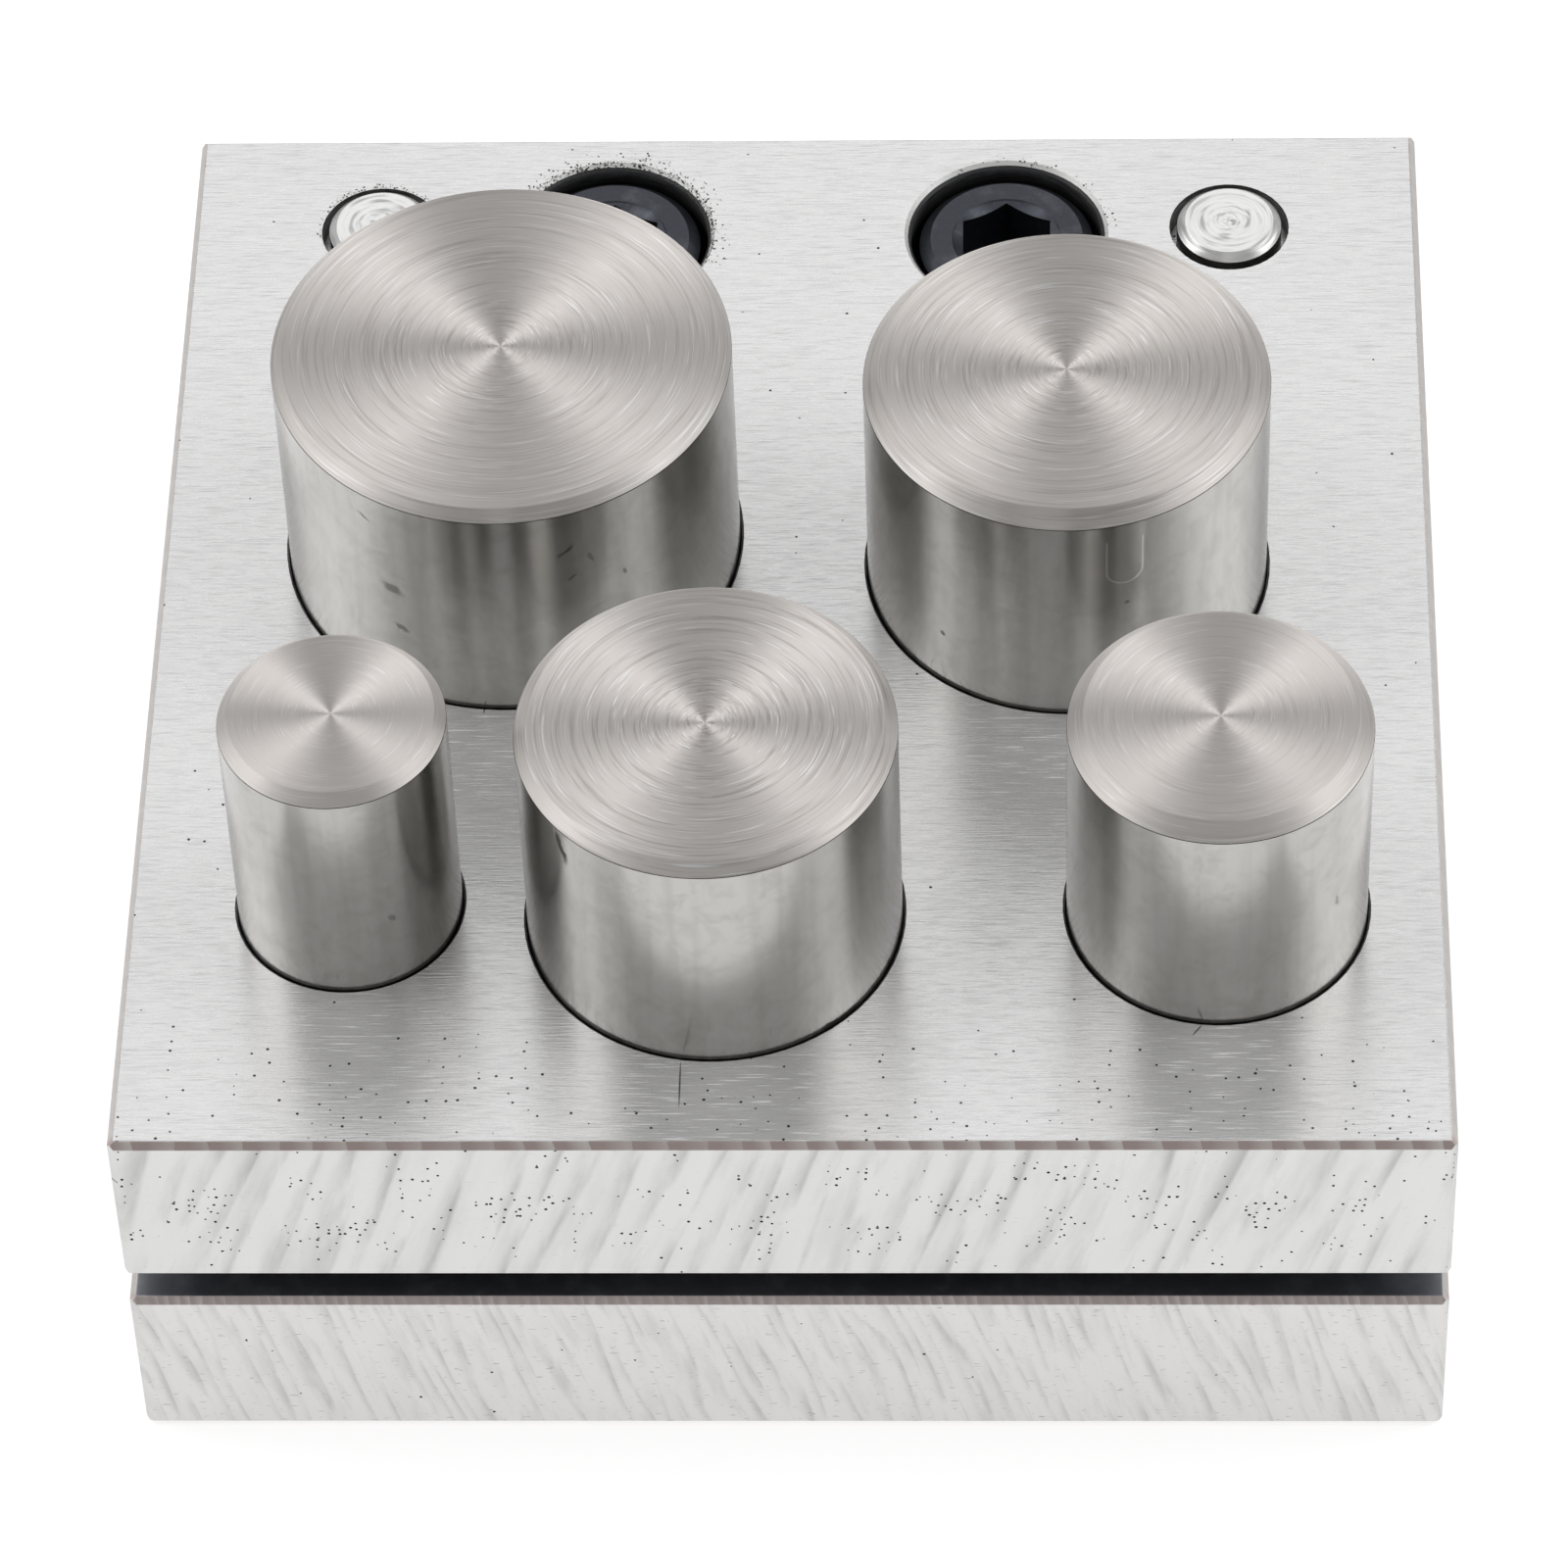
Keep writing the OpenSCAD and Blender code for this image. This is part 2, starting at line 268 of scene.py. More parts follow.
def ringPlace(tree, across, around):
    # Where a point is on a turned piece, as a place in a noise: one unit is "across" metres outwards, and
    # the way round is 2 pi times "around" units, so the noise makes broken rings that close. Each piece
    # has its own.
    place = addNode(tree, "ShaderNodeAttribute", attribute_name="fromAxis")["Vector"]
    flat = addNode(tree, "ShaderNodeVectorMath", {0: place, 1: (1, 1, 0)}, operation="MULTIPLY")[0]
    radius = addNode(tree, "ShaderNodeVectorMath", {0: flat}, operation="LENGTH")["Value"]
    outward = addNode(tree, "ShaderNodeVectorMath", {0: flat}, operation="NORMALIZE")[0]
    onObject = addNode(tree, "ShaderNodeTexCoord")["Object"]
    axis = addNode(tree, "ShaderNodeVectorMath", {0: onObject, 1: place}, operation="SUBTRACT")[0]
    axis = addNode(tree, "ShaderNodeVectorMath", {0: axis, "Scale": ownPattern}, operation="SCALE")[0]
    steps = addNode(tree, "ShaderNodeMath", {0: radius, 1: across}, operation="DIVIDE")[0]
    steps = addNode(tree, "ShaderNodeCombineXYZ", {"Z": steps})[0]
    turned = addNode(tree, "ShaderNodeVectorMath", {0: outward, "Scale": around}, operation="SCALE")[0]
    turned = addNode(tree, "ShaderNodeVectorMath", {0: turned, 1: steps})[0]
    turned = addNode(tree, "ShaderNodeVectorMath", {0: turned, 1: axis})[0]
    return turned, outward


def addMarks(tree, place, marks, soft=0.5):
    # Small worn spots: each is an egg shape with its middle, half sizes and turn, in the place's own
    # units. Gives a mask that is 1 on them.
    total = 0.0
    for mark in marks:
        local = addNode(tree, "ShaderNodeMapping", {
            "Vector": place, "Location": mark["middle"], "Rotation": [math.radians(a) for a in mark["turn"]],
            "Scale": mark["half"],
        }, vector_type="TEXTURE")[0]
        away = addNode(tree, "ShaderNodeVectorMath", {0: local}, operation="LENGTH")["Value"]
        spot = addNode(tree, "ShaderNodeMapRange", {
            "Value": away, "From Min": 1.0, "From Max": soft, "To Max": mark.get("depth", 1.0),
        })[0]
        total = addNode(tree, "ShaderNodeMath", {0: spot, 1: total}, operation="MAXIMUM")[0]
    return total


def onWall(punch, azimuth, below, across, up, tilt, depth=1.0):
    # a mark on a punch's wall, from its azimuth and tilt in degrees, and in mm how far it is below the
    # struck end and its half sizes
    low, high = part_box("punch_" + punch)
    middle, radius = (low + high) / 2, (high.x - low.x) / 2
    a = math.radians(azimuth)
    return {
        "middle": (middle.x + radius * math.cos(a), middle.y + radius * math.sin(a), high.z - below * mm),
        "half": (0.5 * mm, across * mm, up * mm), "turn": (tilt, 0, azimuth), "depth": depth,
    }


# Hardened tool steel, faced in a lathe: warm grey, with fine turned rings that spread the light outwards
# only, so that it shows as wedges that meet in the middle. The rings' grooves are darkened with painted
# shade.
facedPunch = {
    "color": "#e3deda", "grooveShade": "#b4ada8", "scratchGlint": "#ffffff", "roughness": 0.457,
    "ringPitch": 0.15 * mm, "arc": 1.3, "lean": -0.12, "ringHeight": 0.004 * mm,
    # the pale scratches, real scratches painted white as glints: their pitch and arc as shares of the rings',
    # and
    # how strong they are: at least, and with depth
    "scratchPitch": 0.6, "scratchArc": 1.6, "scratchLeast": 0.3, "scratchDeep": 0.65,
}


def facedToolSteel(s):
    material = bpy.data.materials.new("facedToolSteel")
    tree = newShader(material)
    turned, outward = ringPlace(tree, s["ringPitch"], s["arc"])
    rings = addNode(tree, "ShaderNodeTexNoise", {
        "Vector": turned, "Scale": 1.0, "Detail": 3.0, "Roughness": 0.6,
    })["Fac"]
    depth = addNode(tree, "ShaderNodeAttribute", attribute_name="ringDepth")["Fac"]
    # the grooves between the rings are painted darker: painted shade
    shadedGrooves = addNode(tree, "ShaderNodeMapRange", {"Value": rings, "From Min": 0.5, "From Max": 0.28})[0]
    shadedGrooves = addNode(tree, "ShaderNodeMath", {0: shadedGrooves, 1: depth}, operation="MULTIPLY")[0]
    fine = ringPlace(tree, s["ringPitch"] * s["scratchPitch"], s["arc"] * s["scratchArc"])[0]
    fine = addNode(tree, "ShaderNodeTexNoise", {"Vector": fine, "Scale": 1.0, "Detail": 2.0})["Fac"]
    # short pale arcs: real scratches, with a painted white glint
    glintScratches = addNode(tree, "ShaderNodeMapRange", {
        "Value": fine, "From Min": 0.6, "From Max": 0.68, "To Min": 0.0,
    })[0]
    bold = addNode(tree, "ShaderNodeMath", {
        0: depth, 1: s["scratchDeep"], 2: s["scratchLeast"],
    }, operation="MULTIPLY_ADD")[0]
    glintScratches = addNode(tree, "ShaderNodeMath", {0: glintScratches, 1: bold}, operation="MULTIPLY")[0]
    color = layColors(tree, s["color"], [(shadedGrooves, s["grooveShade"]), (glintScratches, s["scratchGlint"])])
    bumps = addNode(tree, "ShaderNodeBump", {
        "Strength": 0.5, "Distance": s["ringHeight"], "Height": rings,
    })[0]
    # the tool leaves each ring leaning a little to the middle
    lean = addNode(tree, "ShaderNodeVectorMath", {0: outward, "Scale": s["lean"]}, operation="SCALE")[0]
    normal = addNode(tree, "ShaderNodeVectorMath", {0: bumps, 1: lean})[0]
    normal = addNode(tree, "ShaderNodeVectorMath", {0: normal}, operation="NORMALIZE")[0]
    return finishSteel(material, {
        "Base Color": color, "Roughness": s["roughness"], "Anisotropic": 1.0,
        "Tangent": outward, "Normal": normal,
    })


# The same steel, cylindrically ground and handled: a dark mirror that is blurred up and down, with faint
# stains, a dark line of painted shade under the end's chamfer and a few worn marks.
groundPunch = {
    # edge is the painted shade of the dark line under the end's chamfer
    "color": "#bcbab7", "stain": "#b0afaa", "streak": "#a9a7a2", "edge": "#5a5550", "mark": "#55504a",
    "roughness": 0.2, "anisotropic": 0.5, "stainSize": 1.4 * mm,
    "streakWidth": 0.7 * mm, "streakLength": 12 * mm,
    "marks": [
        onWall("front_middle", -137.5, 1.8, 0.3, 1.4, 20),
        onWall("front_middle", -46, 15.3, 2.4, 0.25, 0),
        onWall("rear_left", -117.4, 7.2, 0.85, 0.4, -25, 0.6),
        onWall("rear_left", -115.7, 10.2, 0.6, 0.25, -25, 0.6),
        onWall("rear_left", -124, 2.3, 0.5, 0.2, -30, 0.5),
        onWall("rear_left", -72.5, 3.5, 0.75, 0.16, 35, 0.8),
        onWall("rear_left", -70.8, 5.5, 0.5, 0.14, 35, 0.6),
        onWall("rear_left", -66, 4.4, 0.2, 0.5, 10, 0.5),
        onWall("rear_left", -57, 6.5, 0.15, 0.3, 0, 0.5),
        onWall("rear_right", -128, 11.5, 0.22, 0.25, 0, 0.7),
        onWall("rear_right", -73, 7, 0.18, 0.16, 0, 0.6),
        onWall("front_left", -62, 10.2, 0.2, 0.35, 15, 0.5),
        onWall("front_right", -40, 8.7, 0.15, 0.5, 10, 0.4),
        onWall("rear_right", 60, 6.7, 0.8, 0.2, 20, 0.6),
        onWall("rear_left", 120, 5.7, 0.15, 0.45, 15, 0.4),
        onWall("front_right", 30, 4.7, 0.6, 0.2, -30, 0.6),
    ],
    # the marks' uneven edges: the noise's size and how far it moves them, and how rough the marks are
    "raggedPerMm": 1.6, "ragged": 0.5 * mm, "wornRoughness": 0.3,
    # how far a face leans up before it counts as the edge under the chamfer, which is painted dark as shade
    "edgeLean": 0.08,
    # one looped scratch, painted white as a glint: where it is, its radius, half its line's width, how high
    # its arms reach, how deep into the punch it is looked for and how strong it is
    "loop": {
        "on": onWall("rear_right", -73.8, 4.4, 1.0, 1.0, 0), "radius": 1.0 * mm, "line": 0.06 * mm,
        "arms": 2.4 * mm, "reach": 1.0 * mm, "strength": 0.5, "color": "#ffffff",
    },
}


def groundToolSteel(s):
    material = bpy.data.materials.new("groundToolSteel")
    tree = newShader(material)
    coordinates = addNode(tree, "ShaderNodeTexCoord")
    onObject = coordinates["Object"]
    streaks = stretchedNoise(tree, onObject, (
        1 / s["streakWidth"], 1 / s["streakWidth"], 1 / s["streakLength"],
    ), {"Detail": 3.0})
    toned = addNode(tree, "ShaderNodeMapRange", {
        "Value": streaks, "From Min": 0.45, "From Max": 0.75, "To Max": 0.5,
    })[0]
    stains = addNode(tree, "ShaderNodeTexNoise", {
        "Vector": onObject, "Scale": 1 / s["stainSize"], "Detail": 4.0, "Roughness": 0.62, "Distortion": 0.6,
    })["Fac"]
    stained = addNode(tree, "ShaderNodeMapRange", {"Value": stains, "From Min": 0.45, "From Max": 0.7})[0]
    # the looped scratch, painted white as a glint: a half ring below and two arms above, on the wall's own
    # across and up
    loop = s["loop"]
    local = addNode(tree, "ShaderNodeMapping", {
        "Vector": onObject, "Location": loop["on"]["middle"],
        "Rotation": [math.radians(a) for a in loop["on"]["turn"]],
    }, vector_type="TEXTURE")[0]
    local = addNode(tree, "ShaderNodeSeparateXYZ", {0: local})
    below = addNode(tree, "ShaderNodeMath", {0: local["Z"], 1: 0.0}, operation="MINIMUM")[0]
    ring = addNode(tree, "ShaderNodeCombineXYZ", {"X": local["Y"], "Y": below})[0]
    ring = addNode(tree, "ShaderNodeVectorMath", {0: ring}, operation="LENGTH")["Value"]
    loopGlintLine = addNode(tree, "ShaderNodeMath", {
        0: ring, 1: loop["radius"], 2: loop["line"],
    }, operation="COMPARE")[0]
    low = addNode(tree, "ShaderNodeMath", {0: local["Z"], 1: loop["arms"]}, operation="LESS_THAN")[0]
    near = addNode(tree, "ShaderNodeMath", {0: local["X"], 1: 0.0, 2: loop["reach"]}, operation="COMPARE")[0]
    for factor in (low, near, loop["strength"]):
        loopGlintLine = addNode(tree, "ShaderNodeMath", {0: loopGlintLine, 1: factor}, operation="MULTIPLY")[0]
    # uneven edges for the worn marks
    ragged = addNode(tree, "ShaderNodeTexNoise", {
        "Vector": onObject, "Scale": s["raggedPerMm"] / mm, "Detail": 2.0,
    })["Color"]
    ragged = addNode(tree, "ShaderNodeVectorMath", {0: ragged, 1: (0.5, 0.5, 0.5)}, operation="SUBTRACT")[0]
    ragged = addNode(tree, "ShaderNodeVectorMath", {
        0: ragged, 1: (s["ragged"],) * 3, 2: onObject,
    }, operation="MULTIPLY_ADD")[0]
    worn = addMarks(tree, ragged, s["marks"])
    # the rounded line between the wall and the end's chamfer, painted dark as shade
    upward = addNode(tree, "ShaderNodeSeparateXYZ", {0: coordinates["Normal"]})["Z"]
    edgeShadeLine = addNode(tree, "ShaderNodeMath", {0: upward, 1: s["edgeLean"]}, operation="GREATER_THAN")[0]
    color = layColors(tree, s["color"], [
        (stained, s["stain"]), (toned, s["streak"]), (loopGlintLine, loop["color"]), (worn, s["mark"]),
        (edgeShadeLine, s["edge"]),
    ])
    rough = addNode(tree, "ShaderNodeMapRange", {
        "Value": stains, "To Min": s["roughness"] - 0.03, "To Max": s["roughness"] + 0.04,
    })[0]
    rough = addNode(tree, "ShaderNodeMath", {
        0: worn, 1: s["wornRoughness"], 2: rough,
    }, operation="MULTIPLY_ADD")[0]
    zAxis = addNode(tree, "ShaderNodeCombineXYZ", {"Z": 1.0})[0]
    return finishSteel(material, {
        "Base Color": color, "Roughness": rough, "Anisotropic": s["anisotropic"], "Tangent": zAxis,
    })


# Pin steel with a faced end: bright, with wavy turned rings whose grooves are darkened with painted shade.
facedPin = {
    "color": "#f0f0ef", "grooveShade": "#8d8d8c", "roughness": 0.34,
    "ringPitch": 0.3 * mm, "arc": 0.9, "ringHeight": 0.05 * mm,
}


def facedPinSteel(s):
    material = bpy.data.materials.new("facedPinSteel")
    tree = newShader(material)
    turned = ringPlace(tree, s["ringPitch"], s["arc"])[0]
    rings = addNode(tree, "ShaderNodeTexNoise", {"Vector": turned, "Scale": 1.0, "Detail": 1.0})["Fac"]
    # the grooves are painted darker: painted shade
    shadedGrooves = addNode(tree, "ShaderNodeMapRange", {
        "Value": rings, "From Min": 0.46, "From Max": 0.3, "To Max": 0.6,
    })[0]
    color = layColors(tree, s["color"], [(shadedGrooves, s["grooveShade"])])
    normal = addNode(tree, "ShaderNodeBump", {
        "Strength": 1.0, "Distance": s["ringHeight"], "Height": rings,
    })[0]
    return finishSteel(material, {
        "Base Color": color, "Roughness": s["roughness"], "Normal": normal,
    })


# Alloy steel under black oxide, oiled: blue-black and half matt, rubbed to grey in places.
oxide = {
    "color": "#4b4d54", "worn": "#6e6f74", "roughness": 0.4,
    "uneven": 0.1, "grain": 0.25 * mm, "grainHeight": 0.01 * mm,
    "wornGrain": 0.12,   # the worn patches' noise as a share of the grain's
}


def blackOxideSteel(s):
    material = bpy.data.materials.new("blackOxideSteel")
    tree = newShader(material)
    onObject = addNode(tree, "ShaderNodeTexCoord")["Object"]
    grain = addNode(tree, "ShaderNodeTexNoise", {
        "Vector": onObject, "Scale": 1 / s["grain"], "Detail": 2.0,
    })["Fac"]
    worn = addNode(tree, "ShaderNodeTexNoise", {
        "Vector": onObject, "Scale": s["wornGrain"] / s["grain"], "Detail": 4.0, "Roughness": 0.7,
    })["Fac"]
    worn = addNode(tree, "ShaderNodeMapRange", {
        "Value": worn, "From Min": 0.5, "From Max": 0.8, "To Max": 0.8,
    })[0]
    color = layColors(tree, s["color"], [(worn, s["worn"])])
    rough = addNode(tree, "ShaderNodeMapRange", {
        "Value": grain, "To Min": s["roughness"] - s["uneven"], "To Max": s["roughness"] + s["uneven"],
    })[0]
    normal = addNode(tree, "ShaderNodeBump", {
        "Strength": 0.6, "Distance": s["grainHeight"], "Height": grain,
    })[0]
    return finishSteel(material, {
        "Base Color": color, "Roughness": rough, "Normal": normal,
    })


print("steels for the turned pieces made")


# degrees that stay smooth, points in a rounded corner, and how far up a face looks to be part of the end
turning = {"bend": 9, "cornerPoints": 2, "endFacing": 0.66}


def turnedPieceTree(s):
    # a round piece that stands on its foot: a profile with rounded corners, turned about its own axis
    tree, given = newPieceTree("turnedPiece", (
        ("Foot", "Vector"), ("Radius", "Float"), ("Length", "Float"), ("End Chamfer", "Float"),
        ("Foot Chamfer", "Float"), ("Edge", "Float"), ("Sides", "Int"), ("Ring Depth", "Float"),
        ("End Material", "Material"), ("Side Material", "Material"),
    ))
    # the six corners of the profile, as (out from the axis, up)
    footRim = addNode(tree, "ShaderNodeMath", {
        0: given["Radius"], 1: given["Foot Chamfer"],
    }, operation="SUBTRACT")[0]
    endRim = addNode(tree, "ShaderNodeMath", {
        0: given["Radius"], 1: given["End Chamfer"],
    }, operation="SUBTRACT")[0]
    wallTop = addNode(tree, "ShaderNodeMath", {
        0: given["Length"], 1: given["End Chamfer"],
    }, operation="SUBTRACT")[0]
    corners = (
        (0.0, 0.0), (footRim, 0.0), (given["Radius"], given["Foot Chamfer"]),
        (given["Radius"], wallTop), (endRim, given["Length"]), (0.0, given["Length"]),
    )
    profile = addNode(tree, "GeometryNodeMeshLine", {"Count": len(corners)})[0]
    corner = pickCorner(tree, corners, addNode(tree, "GeometryNodeInputIndex")[0])
    profile = addNode(tree, "GeometryNodeSetPosition", {"Geometry": profile, "Position": corner})[0]
    profile = addNode(tree, "GeometryNodeMeshToCurve", {0: profile})[0]
    profile = addNode(tree, "GeometryNodeFilletCurve", {
        "Curve": profile, "Radius": given["Edge"], "Count": s["cornerPoints"], "Limit Radius": True,
    }, mode="POLY")[0]
    profile = addNode(tree, "GeometryNodeCurveToMesh", {0: profile})[0]
    rows = addNode(tree, "GeometryNodeAttributeDomainSize", {0: profile})["Point Count"]
    # a grid with one row for each point of the profile, wrapped round the axis
    last = addNode(tree, "ShaderNodeMath", {0: rows, 1: 1.0}, operation="SUBTRACT")[0]
    columns = addNode(tree, "ShaderNodeMath", {0: given["Sides"], 1: 1.0})[0]
    grid = addNode(tree, "GeometryNodeMeshGrid", {
        "Size X": 1.0, "Size Y": last, "Vertices X": columns, "Vertices Y": rows,
    })[0]
    at = addNode(tree, "ShaderNodeSeparateXYZ", {0: addNode(tree, "GeometryNodeInputPosition")[0]})
    half = addNode(tree, "ShaderNodeMath", {0: last, 1: 0.5}, operation="MULTIPLY")[0]
    row = addNode(tree, "ShaderNodeMath", {0: at["Y"], 1: half})[0]
    row = addNode(tree, "ShaderNodeMath", {0: row}, operation="ROUND")[0]
    turn = addNode(tree, "ShaderNodeMath", {0: at["X"], 1: math.tau}, operation="MULTIPLY")[0]
    point = addNode(tree, "GeometryNodeSampleIndex", {
        "Geometry": profile, "Value": addNode(tree, "GeometryNodeInputPosition")[0], "Index": row,
    }, data_type="FLOAT_VECTOR")[0]
    point = addNode(
        tree, "ShaderNodeVectorRotate", {"Vector": point, "Angle": turn}, rotation_type="Z_AXIS",
    )[0]
    body = addNode(tree, "GeometryNodeSetPosition", {"Geometry": grid, "Position": point})[0]
    body = addNode(tree, "GeometryNodeMergeByDistance", {"Geometry": body, "Distance": weld})[0]
    body = addNode(tree, "GeometryNodeStoreNamedAttribute", {
        "Geometry": body, "Name": "fromAxis", "Value": addNode(tree, "GeometryNodeInputPosition")[0],
    }, data_type="FLOAT_VECTOR")[0]
    body = addNode(tree, "GeometryNodeStoreNamedAttribute", {
        "Geometry": body, "Name": "ringDepth", "Value": given["Ring Depth"],
    }, data_type="FLOAT")[0]
    body = addNode(tree, "GeometryNodeSetPosition", {"Geometry": body, "Offset": given["Foot"]})[0]
    body = shadeSmooth(tree, body, s["bend"])
    body = addNode(tree, "GeometryNodeRealizeInstances", {0: body})[0]
    facing = addNode(tree, "ShaderNodeSeparateXYZ", {0: addNode(tree, "GeometryNodeInputNormal")[0]})["Z"]
    onEnd = addNode(tree, "ShaderNodeMath", {0: facing, 1: s["endFacing"]}, operation="GREATER_THAN")[0]
    body = addNode(tree, "GeometryNodeSetMaterial", {"Geometry": body, "Material": given["Side Material"]})[0]
    body = addNode(tree, "GeometryNodeSetMaterial", {
        "Geometry": body, "Selection": onEnd, "Material": given["End Material"],
    })[0]
    addNode(tree, "NodeGroupOutput", {0: body})
    return tree


def bakePiece(name, tree, values):
    # runs a tree with these inputs and keeps the result as a plain mesh
    maker = bpy.data.objects.new(name, bpy.data.meshes.new(name))
    bpy.context.scene.collection.objects.link(maker)
    modifier = maker.modifiers.new(tree.name, "NODES")
    modifier.node_group = tree
    for socket in tree.interface.items_tree:
        if socket.in_out == "INPUT" and socket.name in values:
            modifier[socket.identifier] = values[socket.name]
    evaluated = maker.evaluated_get(bpy.context.evaluated_depsgraph_get())
    mesh = bpy.data.meshes.new_from_object(evaluated)
    maker.modifiers.remove(modifier)
    maker.data = mesh
    mesh.name = name
    return maker


def standing(name):
    # where a round CAD piece stands, and its size
    low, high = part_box(name)
    middle = (low + high) / 2
    return {"Foot": (middle.x, middle.y, low.z), "Radius": (high.x - low.x) / 2, "Length": high.z - low.z}


punches = {
    "Sides": 128, "Edge": 0.07 * mm, "Foot Chamfer": 0.3 * mm,
    # end chamfer, and how deep the turned rings are
    "each": {
        "front_left": (0.6 * mm, 0.15), "front_middle": (0.65 * mm, 0.8), "front_right": (0.85 * mm, 0.3),
        "rear_left": (0.6 * mm, 0.6), "rear_right": (0.85 * mm, 0.6),
    },
}
turnedPiece = turnedPieceTree(turning)
punchEnd = facedToolSteel(facedPunch)
punchSide = groundToolSteel(groundPunch)
for place, (chamfer, depth) in punches["each"].items():
    punch = bakePiece("turnedPunch_" + place, turnedPiece, {
        **standing("punch_" + place), **punches, "End Chamfer": chamfer, "Ring Depth": depth,
        "End Material": punchEnd, "Side Material": punchSide,
    })
    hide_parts("punch_" + place)
    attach(punch, place + "_punch")
    print("punch", place, len(punch.data.polygons), "faces")

pins = {
    "Sides": 64, "Edge": 0.06 * mm, "End Chamfer": 0.45 * mm, "Foot Chamfer": 0.45 * mm, "Ring Depth": 1.0,
}
pinEnd = facedPinSteel(facedPin)
for side in ("left", "right"):
    pin = bakePiece("dowelPin_" + side, turnedPiece, {
        **standing("dowel_pin_" + side), **pins, "End Material": pinEnd, "Side Material": punchSide,
    })
    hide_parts("dowel_pin_" + side)
    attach(pin, "block")
print("punches and pins made")

# An M6 socket head screw
screws = {
    "sizes": {
        "Head Height": 6 * mm, "Head Chamfer": 0.55 * mm, "Shank Radius": 2.95 * mm, "Across Flats": 5 * mm,
        "Socket Depth": 3 * mm, "Mouth Radius": 3.05 * mm, "Mouth Slope": 0.55, "Knurls": 36.0,
        "Knurl Depth": 0.14 * mm, "Edge": 0.08 * mm,
    },
    # the tip's chamfer and its end as a share of the shank
    "tipChamfer": 0.6 * mm, "tipShare": 0.8,
    # the hole under the flats as a share of their width, and how deep its cone is
    "drillShare": 0.92, "drillCone": 0.6 * mm,
    # points round the axis, and degrees that stay smooth
    "columns": 216, "bend": 24,
}


